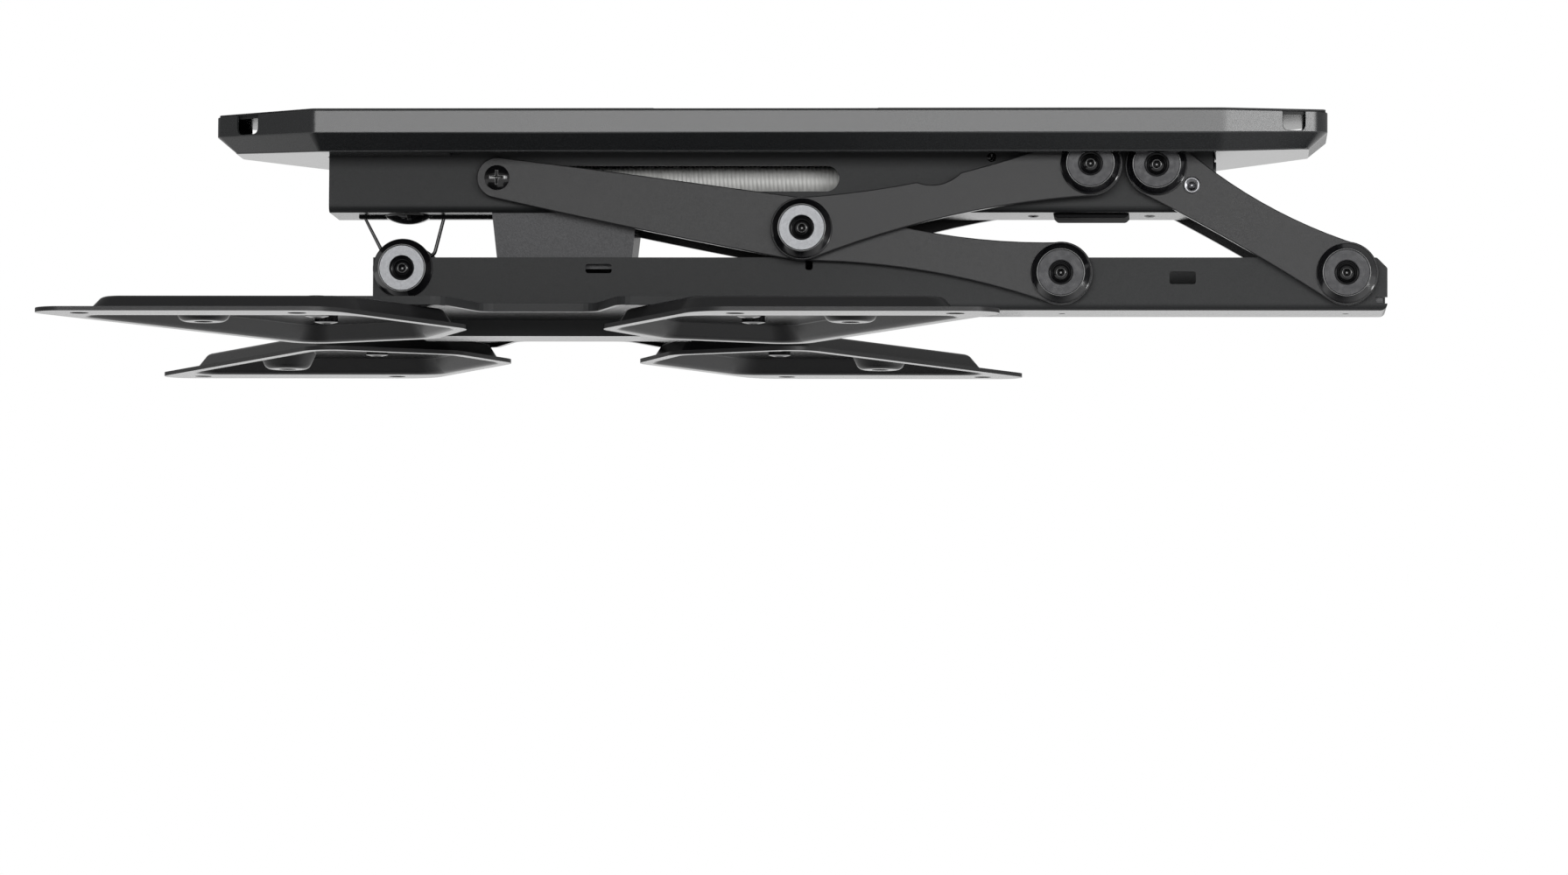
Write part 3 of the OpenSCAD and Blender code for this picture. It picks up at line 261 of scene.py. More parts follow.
def make_materials():
    """All finishes, by the names that the operators use."""
    c = bpy.context.scene.mount_colours
    return {
        "powder": powder_coat("Powder coat matt", c.powder, 0.55, 0.14),
        "satin": powder_coat("Powder coat satin", c.satin, 0.42, 0.14),
        "cover": moulded("ABS eroded grain", c.cover, 0.27, 0.28 * MM, 0.007 * MM, 0.16, 0.12),
        "textured": moulded("ABS coarse grain", c.textured, 0.5, 0.8 * MM, 0.12 * MM, 0.2),
        "gloss": polished_plastic("ABS polished", c.gloss, 0.16),
        "ring": polished_plastic("ABS brushed ring", c.ring, 0.36, 0.2),
        "nickel": turned_steel("Black nickel", c.nickel, 0.18, 0.5 * MM),
        "screw": polished_plastic("Black oxide steel", c.screw, 0.13, 0.45),
        "rubber": moulded("Rubber", c.rubber, 0.7, 0.6 * MM, 0.05 * MM, 0.15, 0.7, 0.1),
        "lens": polished_plastic("Tinted polycarbonate", c.gloss, 0.05, 0.8),
        "zinc": plated("Zinc plate", c.zinc, 0.42, 0.45 * MM, 0.3),
        "bright": turned_steel("Turned steel", c.bright, 0.3, 0.5 * MM),
        "washer": plated("Zinc plate on washers", c.washer, 0.42, 0.3 * MM, 0.3),
        "thread": turned_steel("Rolled steel", c.thread, 0.6, 0.8 * MM, 0.3),
        "bronze": turned_steel("Turned bronze", c.bronze, 0.35, 0.6 * MM),
        "board": moulded("Glass epoxy board", c.board, 0.35, 0.5 * MM, 0.02 * MM, 0.1),
    }


finish = {}


def unit(v):
    """Vectors scaled to length one along the last axis."""
    return v / np.linalg.norm(v, axis=-1, keepdims=True)


def circle(r, steps, middle=(0, 0)):
    """Points of a circle, anticlockwise."""
    a = np.arange(steps) * 2 * pi / steps
    return np.stack([middle[0] + r * np.cos(a), middle[1] + r * np.sin(a)], -1)


def inside(points, loops):
    """Whether an odd number of loop sides lies to the right of each point."""
    odd = np.zeros(len(points), bool)
    x, y = points[:, :1], points[:, 1:]
    for loop in loops:
        after = np.roll(loop, -1, 0)
        spans = (loop[None, :, 1] > y) != (after[None, :, 1] > y)
        rise = np.where(after[:, 1] == loop[:, 1], 1, after[:, 1] - loop[:, 1])
        meets = loop[:, 0] + (y - loop[:, 1]) * (after[:, 0] - loop[:, 0]) / rise
        odd ^= (spans & (x < meets)).sum(1) % 2 == 1
    return odd


class Skin:
    """Patches of surface that meet edge to edge and are joined into one closed mesh."""

    def __init__(self):
        self.points, self.faces = [], []
        self.count = 0

    def add(self, points, faces):
        """Adds points, and faces whose numbers count from its first point."""
        flat = np.asarray(points, float).reshape(-1, 3)
        self.faces += [[k + self.count for k in f] for f in faces]
        self.points.append(flat)
        self.count += len(flat)

    def grid(self, points, closed_rows=False, closed_columns=True):
        """Adds rows and columns of points, with quads between neighbours."""
        rows, columns = points.shape[:2]
        i = np.arange(rows if closed_rows else rows - 1)[:, None]
        j = np.arange(columns if closed_columns else columns - 1)[None, :]
        row, above, right = i * columns, (i + 1) % rows * columns, (j + 1) % columns
        self.add(points, np.stack([row + j, row + right, above + right, above + j], -1).reshape(-1, 4).tolist())

    def fill(self, loops, place):
        """Adds the flat region between loops; place maps it into space."""
        flat = np.concatenate(loops)
        edges, start = [], 0
        for loop in loops:
            n = len(loop)
            edges += [(start + k, start + (k + 1) % n) for k in range(n)]
            start += n
        made = delaunay_2d_cdt([Vector(p) for p in flat], edges, [], 1, 1e-9)
        points, faces = np.array([tuple(p) for p in made[0]]), np.array(made[2])
        self.add(place(points), faces[inside(points[faces].mean(1), loops)].tolist())

    def turned(self, profile, place, steps=96, angles=None, closed=False):
        """Turns a profile of (radius, height) round an axis; a radius of zero closes it at a pole."""
        profile = np.asarray(profile, float)
        a = np.arange(steps) * 2 * pi / steps if angles is None else angles
        ring = np.stack([np.cos(a), np.sin(a)], -1)
        flat = profile[:, None, :1] * ring[None]
        height = np.broadcast_to(profile[:, None, 1:], flat.shape[:2] + (1,))
        self.grid(place(np.concatenate([flat, height], -1)), closed_rows=closed)

    def mesh(self, name, weld=1e-6, upwards=False):
        """Merges doubles and turns the faces outwards, or those of an open sheet upwards."""
        made = bmesh.new()
        verts = [made.verts.new(p) for p in np.concatenate(self.points)]
        for f in self.faces:
            made.faces.new([verts[k] for k in f])
        bmesh.ops.remove_doubles(made, verts=made.verts, dist=weld)
        bmesh.ops.recalc_face_normals(made, faces=made.faces)
        if upwards and sum(f.normal.z * f.calc_area() for f in made.faces) < 0:
            bmesh.ops.reverse_faces(made, faces=made.faces)
        mesh = bpy.data.meshes.new(name)
        made.to_mesh(mesh)
        made.free()
        return mesh


def placed(name, data):
    """An object for a mesh, a light or a camera."""
    obj = bpy.data.objects.new(name, data)
    bpy.context.scene.collection.objects.link(obj)
    return obj


def finished(name, skin, look, body, replaced=(), sharp=32, weld=1e-6, upwards=False):
    """Shows a skin as a piece, with soft shading up to a sharp angle in degrees."""
    mesh = skin.mesh(name, weld, upwards)
    obj = placed(name, mesh)
    mesh.materials.append(finish[look])
    mesh.shade_smooth()
    mesh.set_sharp_from_angle(angle=radians(sharp))
    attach(obj, body)
    if replaced:
        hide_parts(*replaced)
    return obj


def modify(obj, name, kind, **settings):
    """Adds a modifier with its settings."""
    modifier = obj.modifiers.new(name, kind)
    for key, value in settings.items():
        setattr(modifier, key, value)


def edged(obj, name, width, segments, angle):
    """Rounds the edges over an angle in degrees; large flat faces then rule the shading beside them."""
    modify(obj, name, "BEVEL", width=width, segments=segments, limit_method="ANGLE", angle_limit=radians(angle),
           use_clamp_overlap=True)
    weighted(obj)


def weighted(obj):
    """Lets large flat faces rule the shading next to their rounded edges."""
    modify(obj, "Weighted normals", "WEIGHTED_NORMAL", keep_sharp=True)


def dress(names, look, edge=0.0, segments=2, angle=40):
    """Gives nodes of the frame their finish and any rounded edges."""
    for name in names:
        obj = nodes[name]
        obj.data.materials.clear()
        obj.data.materials.append(finish[look])
        if edge:
            modify(obj, "Joined", "WELD", merge_threshold=0.002 * MM)
            modify(obj, "Flat faces", "DECIMATE", decimate_type="DISSOLVE", angle_limit=radians(0.3))
            edged(obj, "Rounded edges", edge, segments, angle)


def axes(origin, *directions):
    """Maps (a, b, h) of a turned shape to a place, each along its own direction."""
    return lambda p: np.array(origin) + p @ np.array(directions)


def on_side(side, at, y):
    """The axis of a pivot at (X, Z), with h pointing outwards on the side."""
    return axes((at[0], side * y, at[1]), (1, 0, 0), (0, 0, 1), (0, side, 0))


def upright(at, z, way=1):
    """A vertical axis at (X, Y), with h pointing up or down."""
    return axes((*at, z), (1, 0, 0), (0, 1, 0), (0, 0, way))


def rounded(points, radii, steps=4, closed=True):
    """Replaces each corner of a path by an arc that is tangent to both of its sides."""
    p = np.asarray(points, float)
    r = np.broadcast_to(np.asarray(radii, float), len(p))
    out = []
    for i, corner in enumerate(p):
        if r[i] == 0 or not closed and i in (0, len(p) - 1):
            out.append(corner[None])
            continue
        a, b = unit(p[i - 1] - corner), unit(p[(i + 1) % len(p)] - corner)
        half = np.arccos(np.clip(a @ b, -1, 1)) / 2
        middle = corner + unit(a + b) * r[i] / np.sin(half)
        start, end = (corner + side * r[i] / np.tan(half) - middle for side in (a, b))
        turn = pi - 2 * half
        k = np.linspace(0, 1, steps + 1)[:, None]
        out.append(middle + (np.sin((1 - k) * turn) * start + np.sin(k * turn) * end) / np.sin(turn))
    return np.concatenate(out)


def inset(points, gaps):
    """Moves each side of an anticlockwise outline inwards by its own gap."""
    p = np.asarray(points, float)
    side = unit(np.roll(p, -1, 0) - p)
    inward = np.stack([-side[:, 1], side[:, 0]], -1)
    reach = (p * inward).sum(-1) + gaps
    before, reach_before = np.roll(inward, 1, 0), np.roll(reach, 1)
    cross = before[:, 0] * inward[:, 1] - before[:, 1] * inward[:, 0]
    x = (reach_before * inward[:, 1] - reach * before[:, 1]) / cross
    y = (before[:, 0] * reach - inward[:, 0] * reach_before) / cross
    return np.stack([x, y], -1)


def slab(skin, plan, corner_r, z0, z1, edge):
    """Adds a plate between two heights, with rounded corners and a chamfer at the second."""
    step = edge * np.sign(z1 - z0)
    loops = [(rounded(inset(plan, gap), corner_r, 6), z) for gap, z in ((0, z0), (0, z1 - step), (edge, z1))]
    skin.grid(np.stack([np.column_stack([loop, np.full(len(loop), z)]) for loop, z in loops]))
    for loop, z in (loops[0], loops[-1]):
        skin.fill([loop], lambda p: np.column_stack([p, np.full(len(p), z)]))


class MountPart(bpy.types.Operator):
    """Base of the operators that dress or build pieces."""
    bl_options = {"REGISTER", "UNDO"}


class MOUNT_OT_ceiling_plate(MountPart):
    """Finishes the steel ceiling plate and rounds its sheared edges"""
    bl_idname, bl_label = "mount.ceiling_plate", "Ceiling Plate"

    def execute(self, context):
        dress(["ceiling_plate"], "powder", sizes().steel_edge / 2)
        return {"FINISHED"}


CORNER_L = 50 * MM
CORNER_D = np.array([32, 10, 46]) * MM
COVER_WALL, COVER_WALL_H, BEVEL_IN, FOOT_STEP = 2 * MM, 11 * MM, 9 * MM, 0.5 * MM
COVER_R = np.array([8, 28, 9, 4, 9, 9, 4, 5]) * MM
OPENING_GAP, OPENING_HALF_W, OPENING_R, OPENING_REACH = 0.5 * MM, 42 * MM, 1.5 * MM, 22 * MM
NOTCH_W, NOTCH_H, NOTCH_FOOT, NOTCH_SHARE, NOTCH_DROP = 11 * MM, 9.5 * MM, 3.3 * MM, 0.32, 0.03 * MM
WALL_RISE, FLOOR_RISE, RISE_END = 1.4 * MM, 2.2 * MM, 2 * MM
NOTCH_SIDES = {7: -1, 1: 1, 3: 1, 5: -1}
COVER_STEPS = 8
BOX_SHEET = 2 * MM


def cover_loop(plan, gap, stations=None):
    """The plan moved inwards by a gap, with points at shares of the notched sides."""
    radii = np.maximum(COVER_R - gap / 2, COVER_WALL)
    arcs = rounded(inset(plan, gap), radii, COVER_STEPS).reshape(8, COVER_STEPS + 1, 2)
    out = []
    for i, arc in enumerate(arcs):
        out.append(arc)
        if stations and i in stations:
            start, end = arc[-1], arcs[(i + 1) % 8][0]
            out.append(start + (end - start) * stations[i][:, None])
    return arcs, np.concatenate(out)


class MOUNT_OT_cover(MountPart):
    """Moulds the cover as one closed shell with rounded corners and edges.

    A profile of inset and height is carried round the plan, a rectangle with four cut corners and arcs between
    its sides: rim, wall, bevel, a small upright step and the underside, outside and inside. Beyond the straight
    sides the foot of the wall and the underside rise evenly towards the tips. In the cut corners the rim drops to
    a cable notch, a flat foot between two quarter circles. The opening has a narrow and a wide half.
    """
    bl_idname, bl_label = "mount.cover", "Cover"

    def execute(self, context):
        (_, _, floor), (x, y, top) = limits("cover_shell")
        near_left, near_right, far = CORNER_D
        flat, bevel = x - CORNER_L, top - COVER_WALL_H
        plan = np.array([(-flat, -y), (flat, -y), (x, near_right - y), (x, y - far), (flat, y), (-flat, y),
                         (-x, y - far), (-x, near_left - y)])
        edge = sizes().cover_edge

        def lifted(p, z):
            """Points at a height, lifted most at the underside and not at the notches' feet."""
            share = np.clip((np.abs(p[:, 0]) - flat) / CORNER_L, 0, 1)
            most = np.interp(z, [floor, bevel, bevel + RISE_END], [FLOOR_RISE, WALL_RISE, 0])
            return np.column_stack([p, z + share * most])
        skin, ends = Skin(), []
        seam, _ = self.notches(plan, 0, x)
        outer_foot = ((-FOOT_STEP, FOOT_STEP, 0.3), (-FOOT_STEP, FOOT_STEP / 2, 0.15), (0, 0, 0.3))
        for gap, wall_r, foot in ((0, 1.4, outer_foot), (COVER_WALL, 0.5, ((0, 0, 0.5),))):
            stations, drop = self.notches(plan, gap, x)
            rim = rounded([(COVER_WALL / 2, 0), (gap, 0), (gap, -4 * edge)], [0, 0.4 * edge, 0], 3, False)[:-1]
            corners = [(gap + BEVEL_IN + out, floor + gap + up) for out, up, _ in foot]
            lower = [(gap, -4 * edge), (gap, bevel), *corners, (gap + 2 * BEVEL_IN, floor + gap)]
            radii = [0, wall_r * edge, *(share * edge for _, _, share in foot), 0]
            rows = [(g, top - drop + z) for g, z in rim]
            rows += [(g, z + 0 * drop) for g, z in rounded(lower, radii, 4, False)[1:-1]]
            made = [lifted(cover_loop(plan, g, stations if k else seam)[1], z) for k, (g, z) in enumerate(rows)]
            skin.grid(np.stack(made))
            ends.append(made[-1][:, :2])
        lip = edge / 2
        profile = [(-lip, 0), (-lip / 4, lip / 4), (0, lip), (0, COVER_WALL)]
        rings = [rounded(inset(self.opening(), gap), OPENING_R, 4) for gap, _ in profile]
        skin.grid(np.stack([lifted(ring, np.full(len(ring), floor + z)) for ring, (_, z) in zip(rings, profile)]))
        for end, ring, z in ((ends[0], rings[0], floor), (ends[1], rings[-1], floor + COVER_WALL)):
            skin.fill([end, ring], lambda p: lifted(p, z))
        weighted(finished("cover_moulded", skin, "cover", "root", ["cover_shell"], 25, 1e-7))
        return {"FINISHED"}

    def notches(self, plan, gap, tip):
        """Shares along the notched sides where the rim changes, and its drop at every point."""
        half, foot = NOTCH_W / 2, NOTCH_FOOT
        a = np.linspace(0, pi / 2, 7)
        left = np.concatenate([[-half - NOTCH_DROP], -(half - foot) - foot * np.cos(a)])
        fall = np.concatenate([[0], NOTCH_H - foot + foot * np.sin(a)])
        across, fall = np.concatenate([left, -left[::-1]]), np.concatenate([fall, fall[::-1]])
        arcs, _ = cover_loop(plan, gap)
        stations = {}
        for i, side in NOTCH_SIDES.items():
            start, end = arcs[i][-1][0], arcs[(i + 1) % 8][0][0]
            way = np.sign(end - start)
            stations[i] = (side * (tip - NOTCH_SHARE * CORNER_L) + way * across - start) / (end - start)
        parts = [np.concatenate([np.zeros(COVER_STEPS + 1), fall if i in stations else []]) for i in range(8)]
        return stations, np.concatenate(parts)

    def opening(self):
        """Corners of the opening: narrow along the box, wide where the arms fold up."""
        half_l = limits("drive_box")[1][0] + OPENING_GAP
        tight = limits("box_end_left")[1][1] + BOX_SHEET + OPENING_GAP
        step, wide = joint["screw_spin"]["pos_m"][0] - OPENING_REACH, OPENING_HALF_W
        return [(-half_l, -tight), (step, -tight), (step, -wide), (half_l, -wide), (half_l, wide), (step, wide),
                (step, tight), (-half_l, tight)]


SMALL_HEAD_R, SMALL_HEAD_H, TAB_HEAD_R, FLOOR_HEAD_R = 2.2 * MM, 1.2 * MM, 3.3 * MM, 2.6 * MM
SADDLE_SCREW_Z, FLOOR_PITCH, SMALL_LIP = -20.4 * MM, 56 * MM, 0.06 * MM


class MOUNT_OT_drive_box(MountPart):
    """Finishes the folded drive box, its end plates and its small screws"""
    bl_idname, bl_label = "mount.drive_box", "Drive Box"

    def execute(self, context):
        edge = sizes().steel_edge
        dress(["drive_box"], "powder", edge)
        dress(["box_end_left", "box_end_right"], "powder", edge / 2)
        self.screws()
        return {"FINISHED"}

    def screws(self):
        """Pan heads with a cross recess: two at the saddle, four in the tabs, two in the floor."""
        low, high = limits("box_screws")
        box_low, box_high = limits("drive_box")
        skin = Skin()

        def head(place, r, h):
            bars = r * 1.5, r * 0.42
            a = cross_angles(*bars)
            driven_head(skin, place, r, h, h * 0.3, cross(a, *bars), h * 0.6, a,
                        [(r / 2, 0), (r / 2, -BOX_SHEET)], SMALL_LIP)
        saddle = (low[0] + SMALL_HEAD_R, SADDLE_SCREW_Z)
        for way in (NEAR, FAR):
            head(on_side(way, saddle, limits("box_end_left")[1][1] + BOX_SHEET), SMALL_HEAD_R, SMALL_HEAD_H)
            for pin in ("fold", "end_arm_swing"):
                tab = (pivot(pin)[0], way * (high[1] - TAB_HEAD_R))
                head(upright(tab, box_high[2] - BOX_SHEET, -1), TAB_HEAD_R, SMALL_HEAD_H)
            floor = (pivot("fold")[0] + way * FLOOR_PITCH / 2, 0)
            head(upright(floor, box_low[2], -1), FLOOR_HEAD_R, SMALL_HEAD_H / 2)
        finished("box_screws_driven", skin, "screw", "root", ["box_screws"], 40)


class MOUNT_OT_drive(MountPart):
    """Finishes the motor, its gearbox and what holds the lead screw"""
    bl_idname, bl_label = "mount.drive", "Drive"

    def execute(self, context):
        edge = sizes().metal_edge
        dress(["motor_gearbox", "motor_saddle", "screw_supports", "screw_coupling"], "zinc", edge)
        dress(["screw_bearings", "guide_rods"], "bright", edge)
        dress(["drive_motor"], "screw", edge)
        dress(["limit_switches"], "textured", edge)
        return {"FINISHED"}


THREAD_SHARES = np.array([0, 0.3, 0.5, 0.8])
SCREW_STEPS = 48
JOURNAL_L = 8 * MM


class MOUNT_OT_lead_screw(MountPart):
    """Cuts the lead screw's trapezoidal thread, with two starts, and turns its journals.

    Its parameters are the angle a and the distance t along the axis. Each row of points follows the helix
    x = t + lead * a / (2 * pi), held between the ends. Four rows make one ridge: foot, foot, crest, crest. The
    radius is the root radius plus the depth of a crest, which fades out at both ends.
    """
    bl_idname, bl_label = "mount.lead_screw", "Lead Screw"

    def execute(self, context):
        s = sizes()
        low, high = limits("lead_screw")
        r, mid_z = (high[1] - low[1]) / 2, (low[2] + high[2]) / 2
        start, end = low[0] + JOURNAL_L, high[0] - JOURNAL_L
        ridges = int((end - start + s.thread_lead) / s.thread_pitch) + 2
        t = start - s.thread_lead + s.thread_pitch * (np.arange(ridges)[:, None] + THREAD_SHARES).ravel()
        crest = np.tile([0, 0, 1, 1], ridges)[:, None]
        a = np.linspace(0, 2 * pi, SCREW_STEPS + 1)[None]
        x = np.clip(t[:, None] + s.thread_lead * a / (2 * pi), start, end)
        fade = np.clip(np.minimum(x - start, end - x) / s.thread_pitch, 0, 1)
        root, neck = r - s.thread_depth, 0.6 * r
        radius = root + s.thread_depth * crest * fade
        skin = Skin()
        skin.grid(np.stack([x, radius * np.cos(a), mid_z + radius * np.sin(a)], -1), closed_columns=False)
        along_x = axes((0, 0, mid_z), (0, 1, 0), (0, 0, 1), (1, 0, 0))
        for face, tip in ((start, low[0]), (end, high[0])):
            chamfer = tip - np.sign(tip - face) * s.metal_edge
            profile = [(root, face), (neck, face), (neck, chamfer), (neck - s.metal_edge, tip), (0, tip)]
            skin.turned(profile, along_x, SCREW_STEPS)
        finished("lead_screw_threaded", skin, "thread", "lead_screw", ["lead_screw"])
        return {"FINISHED"}


class MOUNT_OT_carriage(MountPart):
    """Finishes the carriage block, its bronze nut and the roller pins"""
    bl_idname, bl_label = "mount.carriage", "Carriage"

    def execute(self, context):
        edge = sizes().metal_edge
        dress(["carriage_block"], "zinc", edge)
        dress(["carriage_nut"], "bronze", edge)
        dress(["carriage_pins"], "bright", edge)
        return {"FINISHED"}


GUIDE_BEND, WIRE_R, WIRE_GAP = 3.5 * MM, 0.9 * MM, 0.15 * MM
BAR_T, BAR_EDGE = 1.2 * MM, 0.3 * MM
GUIDE_REACH = np.array([(-21.6, 0), (-11.5, 1), (12.5, 1), (17.4, 0)])
LENS_STEP = 0.6 * MM


class MOUNT_OT_control_box(MountPart):
    """Finishes the control box with its board, the inlet and the cap, and makes the lens and the cable guide.

    The lens is a ball cap with a step at its rim. The guide is a round wire swept along straight legs and arcs:
    at each point of the path a circle lies across its direction.
    """
    bl_idname, bl_label = "mount.control_box", "Control Box"

    def execute(self, context):
        edge = sizes().moulded_edge
        dress(["control_box"], "textured", edge, 3, 30)
        dress(["underside_cap"], "rubber", edge)
        dress(["control_board"], "board", edge / 4)
        dress(["power_inlet"], "zinc", edge / 2)
        self.lens()
        self.guide()
        return {"FINISHED"}

    def lens(self):
        low, high = limits("ir_lens")
        r, h, step = (high[0] - low[0]) / 2, high[2] - low[2], LENS_STEP
        radius = np.linspace(r - 2 * step, 0, 24)
        top = step + dome(radius, r - 2 * step, h - step)
        profile = [(0, 0), (r, 0), (r, step / 2), (r - step / 2, step), *zip(radius, top)]
        skin = Skin()
        skin.turned(profile, upright(centre("ir_lens")[:2], high[2], -1), 96)
        finished("lens_domed", skin, "lens", "root", ["ir_lens"], 30)

    def guide(self):
        low, high = limits("cable_guide")
        x = centre("ir_lens")[0] + GUIDE_REACH[:, 0] * MM
        z = np.where(GUIDE_REACH[:, 1] > 0, low[2] + WIRE_R + WIRE_GAP, high[2])
        path = rounded(np.stack([x, z], -1), GUIDE_BEND, 8, False)
        way = unit(np.gradient(path, axis=0))
        across = np.stack([-way[:, 1], way[:, 0]], -1)
        ring = circle(WIRE_R, 14)
        flat = path[:, None] + across[:, None] * ring[None, :, :1]
        flat[[0, -1], :, 1] = high[2]
        y = np.broadcast_to(ring[None, :, 1:], flat.shape[:2] + (1,))
        tube = np.concatenate([flat[..., :1], y, flat[..., 1:]], -1)
        skin = Skin()
        skin.grid(tube)
        for end in (tube[0], tube[-1]):
            skin.add(end, [list(range(len(end)))])
        finished("cable_guide_bent", skin, "screw", "root", ["cable_guide"], 40)
        foot, end = (high[1] - low[1]) / 2, limits("control_box")[0][0]
        bar = Skin()
        slab(bar, [(low[0], -foot), (end, -foot), (end, foot), (low[0], foot)], foot / 2, high[2], high[2] - BAR_T,
             BAR_EDGE)
        finished("cable_guide_bar", bar, "rubber", "root")


class MOUNT_OT_arms(MountPart):
    """Finishes the flat arms of the linkage with rounded edges"""
    bl_idname, bl_label = "mount.arms", "Arms"

    def execute(self, context):
        arms = [f"{kind}_arm_{side}" for kind in ("lift", "long", "end") for side in ("near", "far")]
        dress(arms, "satin", sizes().steel_edge)
        return {"FINISHED"}


def pivots():
    """Name, covers' node, body, place in XZ, Y of the seat and brightness of each pivot."""
    s = sizes()
    far = {name: limits(name)[1][1] for name in ("lift_arm_far", "long_arm_far", "end_arm_far", "rail_channel")}
    return (
        ("lift", "fixed", "root", pivot("fold"), far["lift_arm_far"] + s.run_gap, False),
        ("end", "fixed", "root", pivot("end_arm_swing"), far["end_arm_far"] + s.run_gap, False),
        ("middle", "middle", "lift_arms", pivot("long_arm_swing"), far["lift_arm_far"], True),
        ("tail", "end", "end_arms", centre("end_covers")[[0, 2]], far["end_arm_far"], False),
        ("rail", "rail", "rail", pivot("rail_swing"), far["long_arm_far"] + s.run_gap, False),
        ("tilt", "rail", "rail", pivot("bracket_tilt"), far["rail_channel"], True),
    )


def dome(r, base_r, h):
    """Height at the radius r of a ball cap with base_r at its edge and h in its middle."""
    ball = (base_r ** 2 + h ** 2) / (2 * h)
    return np.sqrt(ball ** 2 - r ** 2) - (ball - h)


HEX_ANGLES = np.arange(72) * 2 * pi / 72


def hexagon(corner_r):
    """Reach of a hexagon at even angles."""
    sixth = pi / 3
    return corner_r * cos(sixth / 2) / np.cos(np.mod(HEX_ANGLES, sixth) - sixth / 2)


def cross(a, length, width):
    """Reach of a cross at the angles a: the farther side of its two bars."""
    c, d = np.abs(np.cos(a)) + 1e-9, np.abs(np.sin(a)) + 1e-9
    bars = (np.minimum(length / c, width / d), np.minimum(length / d, width / c))
    return np.maximum(*bars) / 2


HEAD_LIP = 0.3 * MM


def driven_head(skin, place, r, h, skirt, reach, depth, angles=HEX_ANGLES, shank=(), lip=HEAD_LIP, round_rim=0):
    """Adds a screw head: skirt, domed top, recess with its reach at each angle, and shank.

    Columns are the angles. Rows run up the skirt, over the dome to the flat rim, which is round where round_rim
    is its inner radius, down a chamfer and the recess's wall, and over a cone to the middle of its floor.
    """
    a, edge = angles[None], reach[None]
    one = np.ones_like(a)
    mouth = np.maximum(edge, round_rim)
    rows = [(r * one, 0 * one), (r * one, skirt * one)]
    for share in (0.08, 0.3, 0.5, 0.7, 0.85, 1.0):
        radius = r + (mouth + lip - r) * share
        rows.append((radius, skirt + dome(radius, r, h - skirt)))
    rim, floor, dot = rows[-1][1].min() * one, (h - depth) * one, 0.25 * edge.min()
    rows += [(mouth + 0.9 * lip, rim), (mouth, rim), (edge, rim - 0.6 * (mouth - edge) - 0.02 * lip),
             (edge, floor), (dot * one, floor - 3 * dot), (0 * one, floor - 3 * dot)]
    radius, height = (np.concatenate(part) for part in zip(*rows))
    skin.grid(place(np.stack([radius * np.cos(a), radius * np.sin(a), height], -1)))
    skin.turned([(r, 0), *shank, (0, shank[-1][1] if shank else 0)], place, angles=angles)


def cross_angles(length, width):
    """Even angles and those of the outer corners of a cross."""
    corner = np.arctan2(width, length)
    corners = [q * pi / 2 + side * corner for q in range(4) for side in (-1, 1)]
    return np.unique(np.mod(np.concatenate([HEX_ANGLES, corners]), 2 * pi))


RIM_ROUND, CONE_ROUND, CONE_LIP = 0.12 * MM, 0.25 * MM, 0.5 * MM
RING_GAP, RING_CHAMFER, GROOVE_PITCH = 0.04 * MM, 0.25 * MM, 0.9 * MM
BRIGHT_GROOVE, DARK_GROOVE = 0.001 * MM, 0.008 * MM
COVER_SKIRT, COVER_RECESS, COVER_LIP = 0.35 * MM, 1.2 * MM, 0.25 * MM
FLAT_SKIRT, FLAT_RECESS, STOP_RIM, STOP_LIP = 0.8 * MM, 1.9 * MM, 2.7 * MM, 0.8 * MM


